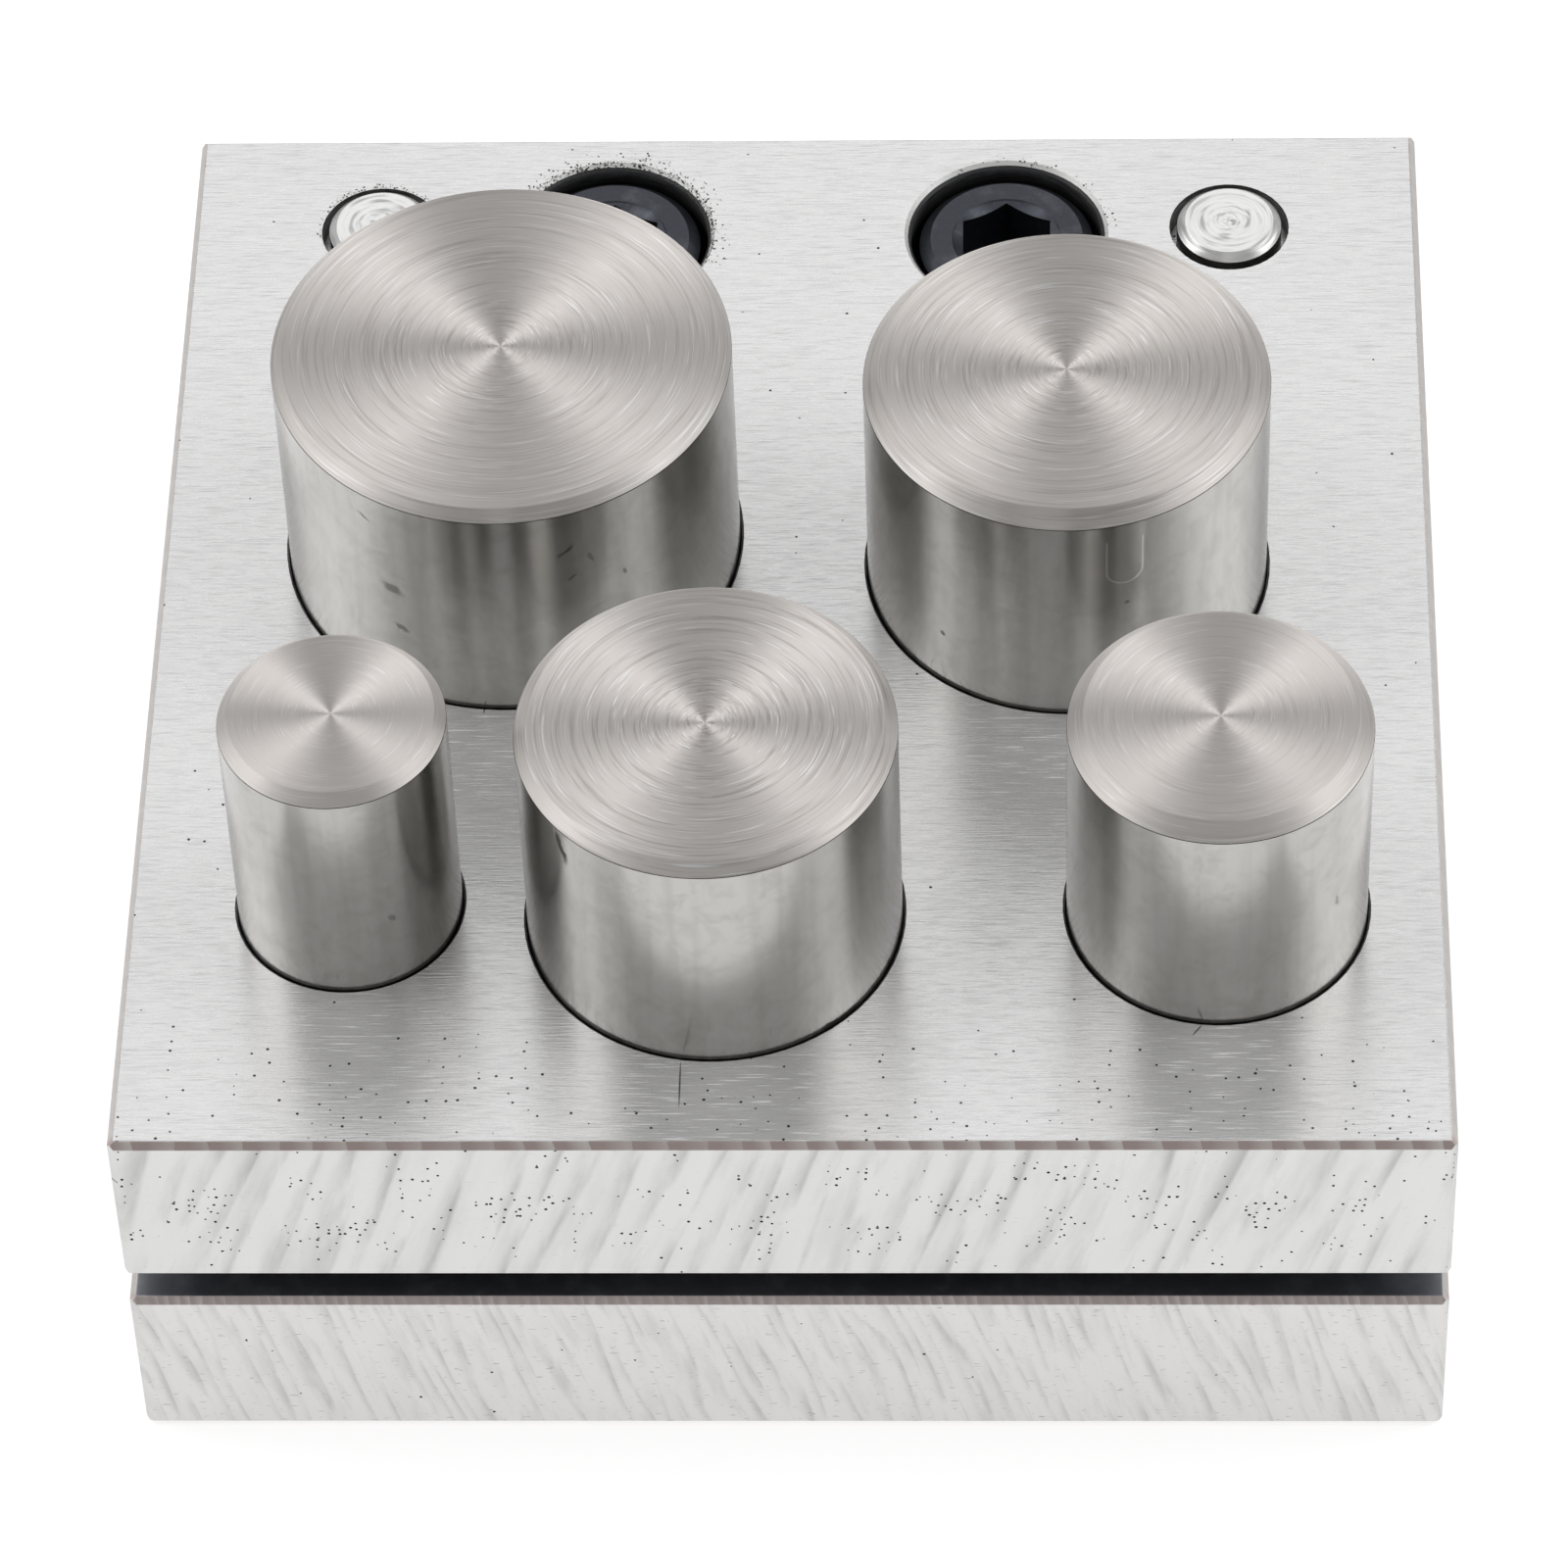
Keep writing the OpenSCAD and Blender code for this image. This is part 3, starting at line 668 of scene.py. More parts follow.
def socketScrewTree(s):
    # A grid of columns round the axis and rows along the profile. The head is knurled and the socket has
    # six flats, so the profile's points are worked out for each column.
    tree, given = newPieceTree("socketScrew", (
        ("Foot", "Vector"), ("Radius", "Float"), ("Length", "Float"), ("Material", "Material"),
        *((size, "Float") for size in s["sizes"]),
    ))
    at = addNode(tree, "ShaderNodeSeparateXYZ", {0: addNode(tree, "GeometryNodeInputPosition")[0]})
    turn = addNode(tree, "ShaderNodeMath", {0: at["X"], 1: math.tau}, operation="MULTIPLY")[0]
    # the angle from the middle of the nearest flat; one corner of the socket points to the block's back
    flat = addNode(tree, "ShaderNodeMath", {0: turn, 1: math.radians(390)})[0]
    flat = addNode(tree, "ShaderNodeMath", {0: flat, 1: math.radians(60)}, operation="MODULO")[0]
    flat = addNode(tree, "ShaderNodeMath", {0: flat, 1: math.radians(30)}, operation="SUBTRACT")[0]
    flat = addNode(tree, "ShaderNodeMath", {0: flat}, operation="COSINE")[0]
    halfFlats = addNode(tree, "ShaderNodeMath", {0: given["Across Flats"], 1: 0.5}, operation="MULTIPLY")[0]
    hexagon = addNode(tree, "ShaderNodeMath", {0: halfFlats, 1: flat}, operation="DIVIDE")[0]
    wave = addNode(tree, "ShaderNodeMath", {0: turn, 1: given["Knurls"]}, operation="MULTIPLY")[0]
    wave = addNode(tree, "ShaderNodeMath", {0: wave}, operation="COSINE")[0]
    wave = addNode(tree, "ShaderNodeMath", {0: wave, 1: -0.5, 2: 0.5}, operation="MULTIPLY_ADD")[0]
    wave = addNode(tree, "ShaderNodeMath", {0: wave, 1: given["Knurl Depth"]}, operation="MULTIPLY")[0]
    knurled = addNode(tree, "ShaderNodeMath", {0: given["Radius"], 1: wave}, operation="SUBTRACT")[0]
    seat = addNode(tree, "ShaderNodeMath", {
        0: given["Length"], 1: given["Head Height"],
    }, operation="SUBTRACT")[0]
    tip = addNode(tree, "ShaderNodeMath", {
        0: given["Shank Radius"], 1: s["tipShare"],
    }, operation="MULTIPLY")[0]
    seatEdge = addNode(tree, "ShaderNodeMath", {0: seat, 1: given["Head Chamfer"]})[0]
    underRim = addNode(tree, "ShaderNodeMath", {
        0: given["Radius"], 1: given["Head Chamfer"],
    }, operation="SUBTRACT")[0]
    wallTop = addNode(tree, "ShaderNodeMath", {
        0: given["Length"], 1: given["Head Chamfer"],
    }, operation="SUBTRACT")[0]
    wallTopEdge = addNode(tree, "ShaderNodeMath", {0: wallTop, 1: given["Edge"]}, operation="SUBTRACT")[0]
    rimIn = addNode(tree, "ShaderNodeMath", {0: underRim, 1: given["Edge"]}, operation="SUBTRACT")[0]
    rimLow = addNode(tree, "ShaderNodeMath", {0: given["Length"], 1: given["Edge"]}, operation="SUBTRACT")[0]
    mouthOut = addNode(tree, "ShaderNodeMath", {0: given["Mouth Radius"], 1: given["Edge"]})[0]
    drop = addNode(tree, "ShaderNodeMath", {0: given["Mouth Radius"], 1: hexagon}, operation="SUBTRACT")[0]
    drop = addNode(tree, "ShaderNodeMath", {0: drop, 1: given["Mouth Slope"]}, operation="MULTIPLY")[0]
    lip = addNode(tree, "ShaderNodeMath", {0: given["Length"], 1: drop}, operation="SUBTRACT")[0]
    floor = addNode(tree, "ShaderNodeMath", {
        0: given["Length"], 1: given["Socket Depth"],
    }, operation="SUBTRACT")[0]
    drill = addNode(tree, "ShaderNodeMath", {0: halfFlats, 1: s["drillShare"]}, operation="MULTIPLY")[0]
    drillTip = addNode(tree, "ShaderNodeMath", {0: floor, 1: s["drillCone"]}, operation="SUBTRACT")[0]
    corners = (
        (0.0, 0.0), (tip, 0.0), (given["Shank Radius"], s["tipChamfer"]),
        (given["Shank Radius"], seat), (underRim, seat),
        (given["Radius"], seatEdge), (knurled, seatEdge),
        (knurled, wallTopEdge), (given["Radius"], wallTop),
        (underRim, rimLow), (rimIn, given["Length"]),
        (mouthOut, given["Length"]), (given["Mouth Radius"], rimLow),
        (hexagon, lip), (hexagon, floor), (drill, floor), (0.0, drillTip),
    )
    count = len(corners)
    row = addNode(tree, "ShaderNodeMath", {0: at["Y"], 1: (count - 1) / 2})[0]
    row = addNode(tree, "ShaderNodeMath", {0: row}, operation="ROUND")[0]
    corner = pickCorner(tree, corners, row)
    point = addNode(
        tree, "ShaderNodeVectorRotate", {"Vector": corner, "Angle": turn}, rotation_type="Z_AXIS",
    )[0]
    grid = addNode(tree, "GeometryNodeMeshGrid", {
        "Size X": 1.0, "Size Y": count - 1.0, "Vertices X": s["columns"] + 1, "Vertices Y": count,
    })[0]
    body = addNode(tree, "GeometryNodeSetPosition", {
        "Geometry": grid, "Position": point, "Offset": given["Foot"],
    })[0]
    body = addNode(tree, "GeometryNodeMergeByDistance", {"Geometry": body, "Distance": weld})[0]
    body = shadeSmooth(tree, body, s["bend"])
    body = addNode(tree, "GeometryNodeRealizeInstances", {0: body})[0]
    body = addNode(tree, "GeometryNodeSetMaterial", {"Geometry": body, "Material": given["Material"]})[0]
    addNode(tree, "NodeGroupOutput", {0: body})
    return tree


socketScrew = socketScrewTree(screws)
blackSteel = blackOxideSteel(oxide)
for side in ("left", "right"):
    screw = bakePiece("socketScrew_" + side, socketScrew, {
        **standing("clamp_screw_" + side), **screws["sizes"], "Material": blackSteel,
    })
    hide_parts("clamp_screw_" + side)
    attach(screw, "block")
print("screws made")

# Carbon steel plate, surface ground: near white, with fine brush lines from side to side that smear what it
# mirrors towards the front. Pits from the bar's skin are left along the front edge.
groundFace = {
    "color": "#eeeeee", "dark": "#d0d0d0", "bright": "#ffffff", "pit": "#3a3835", "scribe": "#6a6866",
    # not all metal: the grinding leaves a pale haze in the grooves
    "metallic": 0.63, "roughness": 0.28, "anisotropic": 0.62,
    # ground lines are finer than 0.01 mm and are drawn this coarse so that they show
    "lineWidth": 0.1 * mm, "lineLength": 2.2 * mm, "lineHeight": 0.02 * mm,
    # pits: the size of their cells, their radii, and where their share goes from least to most
    "pitSpacing": 0.85 * mm, "pitRadii": (0.04 * mm, 0.085 * mm),
    "pitsFrom": -28 * mm, "pitsTo": -37 * mm, "pitShares": (0.03, 0.8),
    "scribeWidth": 0.05 * mm, "scribeDepth": 1.0 * mm,
    # layout lines scribed from the holes, in mm: middle, half length and turn
    "scribed": [((-5.35, -33.0), 1.75, 0), ((21.75, -29.4), 0.5, -35), ((-16.75, -6.9), 0.4, -8)],
}


def surfaceGroundSteel(s):
    material = bpy.data.materials.new("surfaceGroundSteel")
    tree = newShader(material)
    onObject = addNode(tree, "ShaderNodeTexCoord")["Object"]
    lines = stretchedNoise(tree, onObject, (
        1 / s["lineLength"], 1 / s["lineWidth"], 1 / s["lineLength"],
    ), {"Detail": 2.0})
    dark = addNode(tree, "ShaderNodeMapRange", {
        "Value": lines, "From Min": 0.56, "From Max": 0.72, "To Max": 0.6,
    })[0]
    bright = addNode(tree, "ShaderNodeMapRange", {
        "Value": lines, "From Min": 0.42, "From Max": 0.3, "To Max": 0.55,
    })[0]
    scribes = [{
        "middle": (x * mm, y * mm, faceHeight), "half": (s["scribeWidth"], half * mm, s["scribeDepth"]),
        "turn": (0, 0, turn),
    } for (x, y), half, turn in s["scribed"]]
    scribed = addMarks(tree, onObject, scribes, 0.7)
    # pits, most of them within 8 mm of the front edge
    back = addNode(tree, "ShaderNodeSeparateXYZ", {0: onObject})["Y"]
    clusters = addNode(tree, "ShaderNodeTexNoise", {
        "Vector": onObject, "Scale": 0.2 / s["pitSpacing"], "Detail": 1.0,
    })["Fac"]
    share = addNode(tree, "ShaderNodeMapRange", {
        "Value": back, "From Min": s["pitsFrom"], "From Max": s["pitsTo"],
        "To Min": s["pitShares"][0], "To Max": s["pitShares"][1],
    })[0]
    clusters = addNode(tree, "ShaderNodeMapRange", {"Value": clusters, "From Min": 0.35, "From Max": 0.6})[0]
    share = addNode(tree, "ShaderNodeMath", {0: share, 1: clusters}, operation="MULTIPLY")[0]
    pits = scatterPits(tree, onObject, share, s["pitSpacing"], s["pitRadii"])
    color = layColors(tree, s["color"], [
        (dark, s["dark"]), (bright, s["bright"]), (scribed, s["scribe"]), (pits, s["pit"]),
    ])
    normal = addNode(tree, "ShaderNodeBump", {
        "Strength": 1.0, "Distance": s["lineHeight"], "Height": lines,
    })[0]
    forward = addNode(tree, "ShaderNodeCombineXYZ", {"Y": 1.0})[0]
    rough = addNode(tree, "ShaderNodeMapRange", {
        "Value": lines, "To Min": s["roughness"] - 0.04, "To Max": s["roughness"] + 0.04,
    })[0]
    metallic = addNode(
        tree, "ShaderNodeMath", {0: bright, 1: -0.8, 2: s["metallic"]}, operation="MULTIPLY_ADD",
    )[0]
    return finishSteel(material, {
        "Base Color": color, "Metallic": metallic, "Roughness": rough, "Anisotropic": s["anisotropic"],
        "Tangent": forward, "Normal": normal,
    })


# The plates' outer edges, milled with a fly cutter: pale satin steel, with a soft grey band where each
# pass of the cutter ends, and small pits left from the bar's skin.
flyCutBoth = {
    "roughness": 0.45, "uneven": 0.08, "bandHeight": 0.008 * mm, "nick": "#77756f", "nickLength": 0.7 * mm,
    "nickHeight": 0.12 * mm, "pitRadii": (0.0455 * mm, 0.091 * mm), "clustersPerMm": 0.38,
    # beyond the first distance from pitsAt pits are rare, and within the second they have their whole share
    "pitsFar": 5.5 * mm, "pitsNear": 2 * mm,
}
flyCut = {
    "guide_plate": {
        **flyCutBoth, "color": "#dededd", "band": "#bcbcbb", "pit": "#1e1c1a",
        "slant": 17, "pitch": 1.9 * mm, "wander": 1.1, "bands": 1.0,
        "pitSpacing": 0.52 * mm, "pitShare": 0.75, "pitsAt": 19.6 * mm, "nicks": 0.15,
    },
    "die_plate": {
        **flyCutBoth, "color": "#dedddc", "band": "#bfbfbe", "pit": "#4a4845",
        "slant": -15, "pitch": 1.0 * mm, "wander": 1.6, "bands": 0.85,
        "pitSpacing": 1.3 * mm, "pitShare": 0.14, "pitsAt": 5 * mm, "nicks": 0.6,
    },
}


def flyCutSteel(name, s):
    material = bpy.data.materials.new("flyCutSteel_" + name)
    tree = newShader(material)
    xyz, face, leaned, across = edgePlace(tree, s["slant"])
    # each pass fades in and ends sharply; passes wander and some are faint
    wander = stretchedNoise(tree, leaned, (
        0.3 / s["pitch"], 0.05 / s["pitch"], 1,
    ), {"Detail": 1.0}, noise_dimensions="2D")
    passes = addNode(tree, "ShaderNodeMath", {0: across, 1: 1 / s["pitch"]}, operation="MULTIPLY")[0]
    passes = addNode(tree, "ShaderNodeMath", {
        0: wander, 1: s["wander"] * 2, 2: passes,
    }, operation="MULTIPLY_ADD")[0]
    ramp = addNode(tree, "ShaderNodeMath", {0: passes}, operation="FRACT")[0]
    fade = addNode(tree, "ShaderNodeMapRange", {"Value": ramp, "From Min": 0.3, "From Max": 0.85})[0]
    end = addNode(tree, "ShaderNodeMapRange", {"Value": ramp, "From Min": 1.0, "From Max": 0.86})[0]
    band = addNode(tree, "ShaderNodeMath", {0: fade, 1: end}, operation="MULTIPLY")[0]
    patches = stretchedNoise(tree, leaned, (
        0.9 / s["pitch"], 0.16 / s["pitch"], 1,
    ), {"Detail": 4.0, "Roughness": 0.6}, noise_dimensions="2D")
    strong = addNode(tree, "ShaderNodeMapRange", {
        "Value": patches, "From Min": 0.4, "From Max": 0.68, "To Max": s["bands"],
    })[0]
    band = addNode(tree, "ShaderNodeMath", {0: band, 1: strong}, operation="MULTIPLY")[0]
    haze = addNode(tree, "ShaderNodeMapRange", {
        "Value": patches, "From Min": 0.5, "From Max": 0.8, "To Max": 0.3,
    })[0]
    band = addNode(tree, "ShaderNodeMath", {0: band, 1: haze}, operation="MAXIMUM")[0]
    # short level nicks
    nicks = stretchedNoise(tree, face, (
        1 / s["nickLength"], 1 / s["nickHeight"], 1,
    ), {"Detail": 2.0}, noise_dimensions="2D")
    nicks = addNode(tree, "ShaderNodeMapRange", {
        "Value": nicks, "From Min": 0.7, "From Max": 0.78, "To Max": s["nicks"],
    })[0]
    clusters = addNode(tree, "ShaderNodeTexNoise", {
        "Vector": face, "Scale": s["clustersPerMm"] / mm, "Detail": 1.0,
    }, noise_dimensions="2D")["Fac"]
    share = addNode(tree, "ShaderNodeMapRange", {
        "Value": clusters, "From Min": 0.5, "From Max": 0.66, "To Min": 0.02, "To Max": s["pitShare"],
    })[0]
    # most pits are about one height
    aside = addNode(tree, "ShaderNodeMath", {0: xyz["Z"], 1: s["pitsAt"]}, operation="SUBTRACT")[0]
    aside = addNode(tree, "ShaderNodeMath", {0: aside}, operation="ABSOLUTE")[0]
    aside = addNode(tree, "ShaderNodeMapRange", {
        "Value": aside, "From Min": s["pitsFar"], "From Max": s["pitsNear"], "To Min": 0.1,
    })[0]
    share = addNode(tree, "ShaderNodeMath", {0: share, 1: aside}, operation="MULTIPLY")[0]
    pits = scatterPits(tree, face, share, s["pitSpacing"], s["pitRadii"])
    color = layColors(tree, s["color"], [(band, s["band"]), (nicks, s["nick"]), (pits, s["pit"])])
    rough = addNode(tree, "ShaderNodeMapRange", {
        "Value": patches, "To Min": s["roughness"] - s["uneven"], "To Max": s["roughness"] + s["uneven"],
    })[0]
    normal = addNode(tree, "ShaderNodeBump", {
        "Strength": 0.3, "Distance": s["bandHeight"], "Height": band,
    })[0]
    return finishSteel(material, {
        "Base Color": color, "Roughness": rough, "Normal": normal,
    })


# The broken edges of the plates: filed steel with brighter file strokes, browned in front and pale at the
# sides; the front's darker brown is partly real patches and partly a painted reflection.
filedEdgeBoth = {
    "roughness": 0.45, "slant": 35, "wander": 0.9,
    # where the front's colour goes over into the sides', and how far
    "frontEnds": -36.7 * mm, "sideBegins": -36.2 * mm, "sideShare": 0.85,
}
filedEdge = {
    "guide_plate": {
        **filedEdgeBoth, "color": "#c4b4b0", "stroke": "#e8e2de",
        "side": "#dcdad8", "pitch": 1.85 * mm, "faintest": 0.45,
    },
    "die_plate": {
        **filedEdgeBoth, "color": "#cbbfbb", "stroke": "#e6dedb",
        "side": "#d2d0ce", "pitch": 0.6 * mm, "faintest": 0.1,
    },
}


def filedEdgeSteel(name, s):
    material = bpy.data.materials.new("filedEdgeSteel_" + name)
    tree = newShader(material)
    xyz, face, _, across = edgePlace(tree, s["slant"])
    wander = addNode(tree, "ShaderNodeTexNoise", {
        "Vector": face, "Scale": 0.4 / s["pitch"], "Detail": 2.0,
    }, noise_dimensions="2D")["Fac"]
    strokes = addNode(tree, "ShaderNodeMath", {
        0: across, 1: math.cos(math.radians(s["slant"])) * s["pitch"],
    }, operation="DIVIDE")[0]
    strokes = addNode(
        tree, "ShaderNodeMath", {0: wander, 1: s["wander"], 2: strokes}, operation="MULTIPLY_ADD",
    )[0]
    strokes = addNode(tree, "ShaderNodeMath", {0: strokes}, operation="FRACT")[0]
    strokes = addNode(tree, "ShaderNodeMapRange", {"Value": strokes, "From Min": 0.35, "From Max": 0.9})[0]
    strength = addNode(tree, "ShaderNodeMapRange", {
        "Value": wander, "From Min": 0.3, "From Max": 0.7, "To Min": s["faintest"], "To Max": 1.0,
    })[0]
    strokes = addNode(tree, "ShaderNodeMath", {0: strokes, 1: strength}, operation="MULTIPLY")[0]
    # the front's darker brown is partly a painted reflection; the sides get their pale colour
    aside = addNode(tree, "ShaderNodeMapRange", {
        "Value": xyz["Y"], "From Min": s["frontEnds"], "From Max": s["sideBegins"], "To Max": s["sideShare"],
    })[0]
    color = layColors(tree, s["color"], [(strokes, s["stroke"]), (aside, s["side"])])
    return finishSteel(material, {"Base Color": color, "Roughness": s["roughness"]})


# Steel with fine level lines. The holes are bored and reamed, and darken downwards with painted shade; the
# strip between the plates is rolled flat bar, sheared to length.
lined = {
    "boredSteel": {
        "color": "#b0b1b1", "line": "#7e7f80", "roughness": 0.5, "linePitch": 0.15 * mm,
        # the colour low down, painted shade deep in the holes, and the heights between which it comes in
        "low": "#2a2a2c", "from": faceHeight - 0.4 * mm, "to": faceHeight - 1.7 * mm,
    },
    "rolledStripSteel": {
        "color": "#b4b5b6", "line": "#8f9091", "roughness": 0.36, "linePitch": 0.2 * mm,
        "low": "#87898c", "from": 12.7 * mm, "to": 11.5 * mm,
    },
}


def linedSteel(name, s):
    material = bpy.data.materials.new(name)
    tree = newShader(material)
    onObject = addNode(tree, "ShaderNodeTexCoord")["Object"]
    lines = stretchedNoise(tree, onObject, (
        0.1 / s["linePitch"], 0.1 / s["linePitch"], 1 / s["linePitch"],
    ), {"Detail": 2.0})
    toned = addNode(tree, "ShaderNodeMapRange", {"Value": lines, "From Min": 0.4, "From Max": 0.7})[0]
    height = addNode(tree, "ShaderNodeSeparateXYZ", {0: onObject})["Z"]
    # darker towards the bottom: painted shade in the holes
    down = addNode(tree, "ShaderNodeMapRange", {
        "Value": height, "From Min": s["from"], "From Max": s["to"],
    })[0]
    color = layColors(tree, s["color"], [(toned, s["line"]), (down, s["low"])])
    return finishSteel(material, {"Base Color": color, "Roughness": s["roughness"]})


# The faces inside the slot are a darker blue-grey, half matt and mottled: painted shade for the slot.
slotShadeLook = {"color": "#9a9ca2", "paleMottle": "#aeb0b4", "roughness": 0.42, "mottle": 1.6 * mm}


def slotShadeSteel(s):
    material = bpy.data.materials.new("paintedSlotShade")
    tree = newShader(material)
    onObject = addNode(tree, "ShaderNodeTexCoord")["Object"]
    mottle = addNode(tree, "ShaderNodeTexNoise", {
        "Vector": onObject, "Scale": 1 / s["mottle"], "Detail": 5.0, "Roughness": 0.6,
    })["Fac"]
    paleMottle = addNode(tree, "ShaderNodeMapRange", {"Value": mottle, "From Min": 0.5, "From Max": 0.75})[0]
    color = layColors(tree, s["color"], [(paleMottle, s["paleMottle"])])
    rough = addNode(tree, "ShaderNodeMapRange", {
        "Value": mottle, "To Min": s["roughness"] - 0.08, "To Max": s["roughness"] + 0.12,
    })[0]
    return finishSteel(material, {"Base Color": color, "Roughness": rough})


# Burrs and chips round the holes that were bored by hand: dark ones, partly grit and partly painted shadow,
# and bright specks, standing just proud
tornRims = {
    "counterbore": {
        "Centre": (-11.0 * mm, 29.2 * mm, faceHeight), "Rim Radius": 5.85 * mm, "Spread": 1.0 * mm,
        "First Angle": -25.0, "Last Angle": 205.0, "Count": 340, "Seed": 11, "Torn": True,
    },
    "pin": {
        "Centre": (-24.35 * mm, 29.6 * mm, faceHeight), "Rim Radius": 3.5 * mm, "Spread": 0.3 * mm,
        "First Angle": 20.0, "Last Angle": 190.0, "Count": 110, "Seed": 4, "Torn": True,
    },
    "rightCounterbore": {
        "Centre": (11.6 * mm, 29.2 * mm, faceHeight), "Rim Radius": 5.85 * mm, "Spread": 0.5 * mm,
        "First Angle": 0.0, "Last Angle": 110.0, "Count": 44, "Seed": 7, "Torn": False,
    },
}
burr = {
    "smallest": 0.025 * mm, "largest": 0.1 * mm, "thickest": 0.04 * mm, "tilt": 0.5, "gritShadowShare": 0.45,
    "crowding": 3.0, "dark": "#4a4542", "bright": "#fbfbf9", "grain": 0.125 * mm, "uneven": 0.2,
}


# The chamfers round the screws' counterbores and the left pin, cut by hand: they scatter the light, so
# they are pale on every side. The left ones tore and hold black grit.
# wall is painted shade, laid on the chamfers' lower part
mouthsBoth = {"wallShade": "#3c3c3d", "pale": 0.2 * mm, "soft": 0.05, "metallic": 0.4, "roughness": 0.4}
mouths = {
    "tornMouthSteel": {
        **mouthsBoth, "color": "#f6f6f4", "grit": "#2b2927",
        "from": 0.53, "grain": 0.17 * mm, "height": 0.05 * mm,
    },
    "cutMouthSteel": {
        **mouthsBoth, "color": "#f0f0ee", "grit": "#8c8c8a",
        "from": 0.64, "grain": 0.3 * mm, "height": 0.01 * mm,
    },
}


def mouthSteel(name, s):
    material = bpy.data.materials.new(name)
    tree = newShader(material)
    onObject = addNode(tree, "ShaderNodeTexCoord")["Object"]
    grit = addNode(tree, "ShaderNodeTexNoise", {
        "Vector": onObject, "Scale": 1 / s["grain"], "Detail": 2.0, "Roughness": 0.7,
    })["Fac"]
    dark = addNode(tree, "ShaderNodeMapRange", {
        "Value": grit, "From Min": s["from"], "From Max": s["from"] + s["soft"],
    })[0]
    # the lower part gets the painted shade of the wall below it
    height = addNode(tree, "ShaderNodeSeparateXYZ", {0: onObject})["Z"]
    low = addNode(tree, "ShaderNodeMath", {0: height, 1: faceHeight - s["pale"]}, operation="LESS_THAN")[0]
    color = layColors(tree, s["color"], [(dark, s["grit"]), (low, s["wallShade"])])
    normal = addNode(tree, "ShaderNodeBump", {"Strength": 1.0, "Distance": s["height"], "Height": grit})[0]
    return finishSteel(material, {
        "Base Color": color, "Metallic": s["metallic"], "Roughness": s["roughness"], "Normal": normal,
    })


plates = {
    # the outer edges' rounding, and how near to the outside a face or edge is an outer one
    "edge": 0.05 * mm, "outside": 0.5 * mm,
    # in degrees: bends that shade smooth, bends so slight that two faces become one, and the least bend
    # of an edge that is rounded
    "bend": 9.5, "flat": 0.3, "corner": 30,
    # how far up or down a face looks to be level, and to be a chamfer
    "level": 0.95, "leaning": 0.3, "sameHeight": 0.01 * mm,
}


def makePlate(name, materials, s):
    # The CAD plate with its edges rounded, and a finish for each kind of face
    ground, milled, filed, inHoles, slotShadeIndex, torn, clean = range(7)
    mesh = nodes[name].data.copy()
    if mesh.has_custom_normals:
        mesh.attributes.remove(mesh.attributes["custom_normal"])
    mesh.materials.clear()
    for material in materials:
        mesh.materials.append(material)
    low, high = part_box(name)
    inSlot = low.z if name == "guide_plate" else high.z

    def nearOutside(p):
        return min(p.x - low.x, high.x - p.x, p.y - low.y, high.y - p.y) < s["outside"]

    shape = bmesh.new()
    shape.from_mesh(mesh)
    bmesh.ops.remove_doubles(shape, verts=shape.verts, dist=weld)
    bmesh.ops.dissolve_limit(shape, angle_limit=math.radians(s["flat"]), verts=shape.verts, edges=shape.edges)
    # only the outer edges are rounded, because the holes have their own chamfers
    rounded = shape.edges.layers.float.new("bevel_weight_edge")
    for edge in shape.edges:
        middle = (edge.verts[0].co + edge.verts[1].co) / 2
        if nearOutside(middle) and edge.calc_face_angle(0) > math.radians(s["corner"]):
            edge[rounded] = 1.0
    for face in shape.faces:
        middle = face.calc_center_median()
        upright = abs(face.normal.z)
        if upright > s["level"]:
            # faces level with the slot get the painted slot shade
            face.material_index = slotShadeIndex if abs(middle.z - inSlot) < s["sameHeight"] else ground
        elif nearOutside(middle):
            face.material_index = milled if upright < s["leaning"] else filed
        else:
            face.material_index = inHoles
            for rim in tornRims.values():
                if upright > s["leaning"] and (middle - Vector(rim["Centre"])).length < rim["Rim Radius"]:
                    face.material_index = torn if rim["Torn"] else clean
    shape.to_mesh(mesh)
    shape.free()
    plate = bpy.data.objects.new("dressed_" + name, mesh)
    bpy.context.scene.collection.objects.link(plate)
    bevel = plate.modifiers.new("roundedEdges", "BEVEL")
    bevel.width = s["edge"]
    bevel.segments = 2
    bevel.limit_method = "WEIGHT"
    evaluated = plate.evaluated_get(bpy.context.evaluated_depsgraph_get())
    mesh = bpy.data.meshes.new_from_object(evaluated)
    plate.modifiers.remove(bevel)
    plate.data = mesh
    mesh.shade_smooth()
    mesh.set_sharp_from_angle(angle=math.radians(s["bend"]))
    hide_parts(name)
    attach(plate, "block")
    print(name, len(mesh.polygons), "faces")


groundSteel = surfaceGroundSteel(groundFace)
holeSteel, stripSteel = (linedSteel(name, values) for name, values in lined.items())
slotSteel = slotShadeSteel(slotShadeLook)
tornMouth, cutMouth = (mouthSteel(name, values) for name, values in mouths.items())
for name in ("guide_plate", "die_plate"):
    milledSteel, filedSteel = flyCutSteel(name, flyCut[name]), filedEdgeSteel(name, filedEdge[name])
    makePlate(name, (groundSteel, milledSteel, filedSteel, holeSteel, slotSteel, tornMouth, cutMouth), plates)


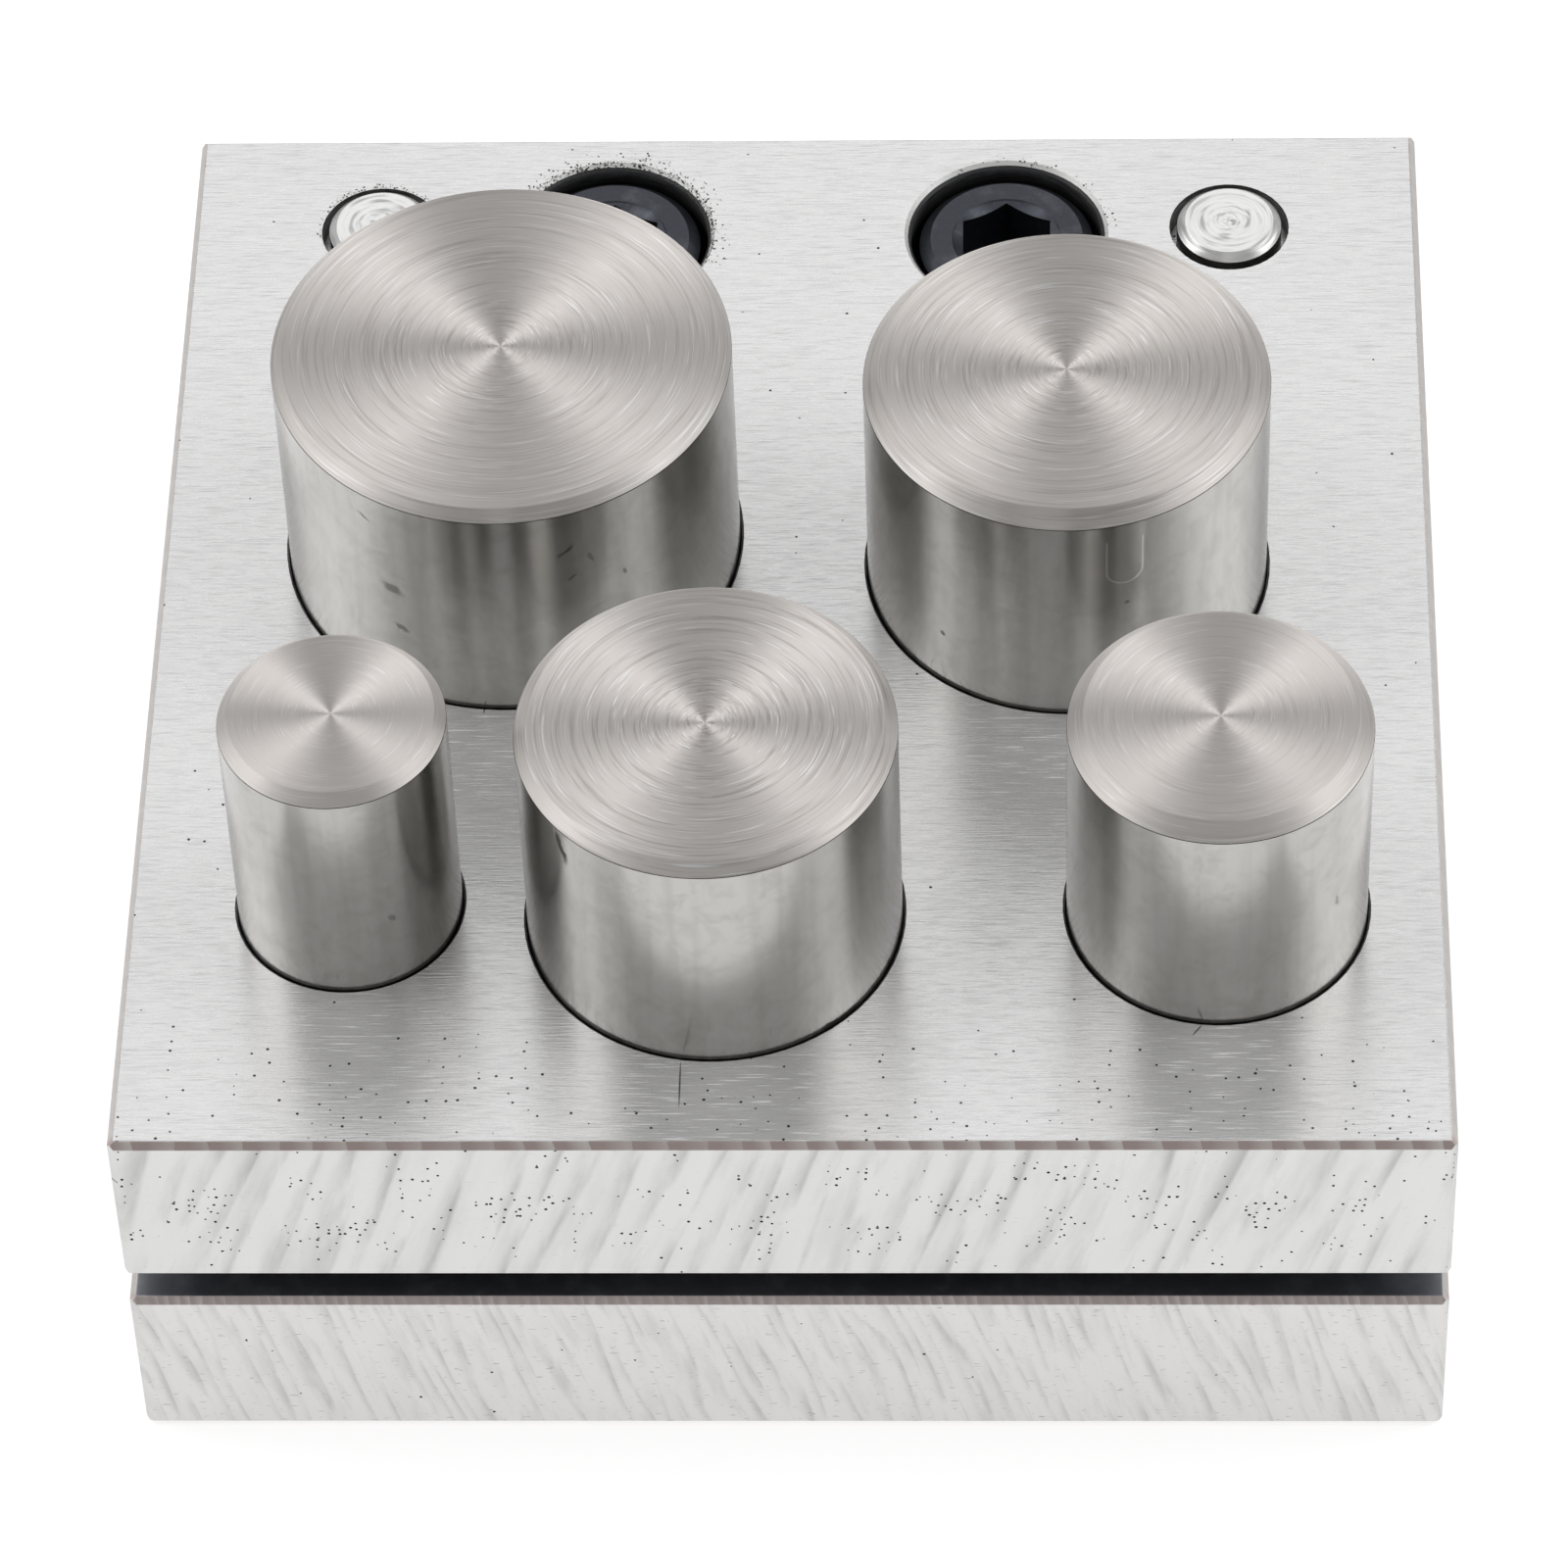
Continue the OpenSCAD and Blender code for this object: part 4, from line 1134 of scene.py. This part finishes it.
def tornRimTree(s):
    tree, given = newPieceTree("tornRim", (
        ("Centre", "Vector"), ("Rim Radius", "Float"), ("Spread", "Float"), ("First Angle", "Float"),
        ("Last Angle", "Float"), ("Count", "Int"), ("Seed", "Int"),
        ("Grit And Shadow Material", "Material"), ("Bright Material", "Material"),
    ))
    turn = addNode(tree, "FunctionNodeRandomValue", {
        2: given["First Angle"], 3: given["Last Angle"], 8: given["Seed"],
    }, data_type="FLOAT")[1]
    turn = addNode(tree, "ShaderNodeMath", {0: turn}, operation="RADIANS")[0]
    # most chips are close to the rim: the cube of an even chance
    nextSeed = addNode(tree, "ShaderNodeMath", {0: given["Seed"], 1: 100.0})[0]
    away = addNode(tree, "FunctionNodeRandomValue", {2: 0.0, 3: 1.0, 8: nextSeed}, data_type="FLOAT")[1]
    away = addNode(tree, "ShaderNodeMath", {0: away, 1: s["crowding"]}, operation="POWER")[0]
    away = addNode(tree, "ShaderNodeMath", {
        0: away, 1: given["Spread"], 2: given["Rim Radius"],
    }, operation="MULTIPLY_ADD")[0]
    point = addNode(tree, "ShaderNodeCombineXYZ", {"X": away})[0]
    point = addNode(
        tree, "ShaderNodeVectorRotate", {"Vector": point, "Angle": turn}, rotation_type="Z_AXIS",
    )[0]
    point = addNode(tree, "ShaderNodeVectorMath", {0: point, 1: given["Centre"]})[0]
    points = addNode(tree, "GeometryNodePoints", {"Count": given["Count"], "Position": point})[0]
    chosen = addNode(tree, "FunctionNodeRandomValue", {
        "Probability": s["gritShadowShare"], 8: given["Seed"],
    }, data_type="BOOLEAN")[3]
    parted = addNode(tree, "GeometryNodeSeparateGeometry", {0: points, "Selection": chosen}, domain="POINT")
    chip = addNode(tree, "GeometryNodeMeshIcoSphere", {"Radius": 1.0, "Subdivisions": 1})[0]
    size = addNode(tree, "FunctionNodeRandomValue", {
        0: (s["smallest"],) * 3, 1: (s["largest"], s["largest"], s["thickest"]), 8: nextSeed,
    }, data_type="FLOAT_VECTOR")[0]
    spin = addNode(tree, "FunctionNodeRandomValue", {
        0: (0, 0, 0), 1: (s["tilt"], s["tilt"], math.tau), 8: nextSeed,
    }, data_type="FLOAT_VECTOR")[0]
    both = addNode(tree, "GeometryNodeJoinGeometry")[0]
    for half, finish in ((parted[0], given["Grit And Shadow Material"]), (parted[1], given["Bright Material"])):
        chips = addNode(tree, "GeometryNodeInstanceOnPoints", {
            "Points": half, "Instance": chip, "Rotation": spin, "Scale": size,
        })[0]
        chips = addNode(tree, "GeometryNodeRealizeInstances", {0: chips})[0]
        chips = addNode(tree, "GeometryNodeSetMaterial", {"Geometry": chips, "Material": finish})[0]
        tree.links.new(chips, both.node.inputs[0])
    addNode(tree, "NodeGroupOutput", {0: both})
    return tree


def tornSteel(name, color, roughness, s):
    # steel that tore instead of cutting: rough grains that are dark where they hold grit
    material = bpy.data.materials.new(name)
    tree = newShader(material)
    onObject = addNode(tree, "ShaderNodeTexCoord")["Object"]
    grain = addNode(tree, "ShaderNodeTexNoise", {
        "Vector": onObject, "Scale": 1 / s["grain"], "Detail": 2.0,
    })["Fac"]
    rough = addNode(tree, "ShaderNodeMapRange", {
        "Value": grain, "To Min": roughness - s["uneven"], "To Max": roughness + s["uneven"],
    })[0]
    shade = addNode(tree, "ShaderNodeMapRange", {
        "Value": grain, "From Min": 0.3, "From Max": 0.7, "To Min": 0.6, "To Max": 1.0,
    })[0]
    color = addNode(tree, "ShaderNodeVectorMath", {
        0: linearColor(color)[:3], "Scale": shade,
    }, operation="SCALE")[0]
    return finishSteel(material, {"Base Color": color, "Metallic": 0.4, "Roughness": rough})


tornRim = tornRimTree(burr)
grit = {
    # the dark chips: partly grit, partly painted shadow of the chips
    "Grit And Shadow Material": tornSteel("tornSteelGritAndShadow", burr["dark"], 0.6, burr),
    "Bright Material": tornSteel("tornBrightSteel", burr["bright"], 0.3, burr),
}
for place, values in tornRims.items():
    chips = bakePiece("tornRim_" + place, tornRim, {**values, **grit})
    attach(chips, "block")
    print("torn rim", place, len(chips.data.polygons), "faces")

nodes["spacer_strip"].data.materials.clear()
nodes["spacer_strip"].data.materials.append(stripSteel)
print("plates made")
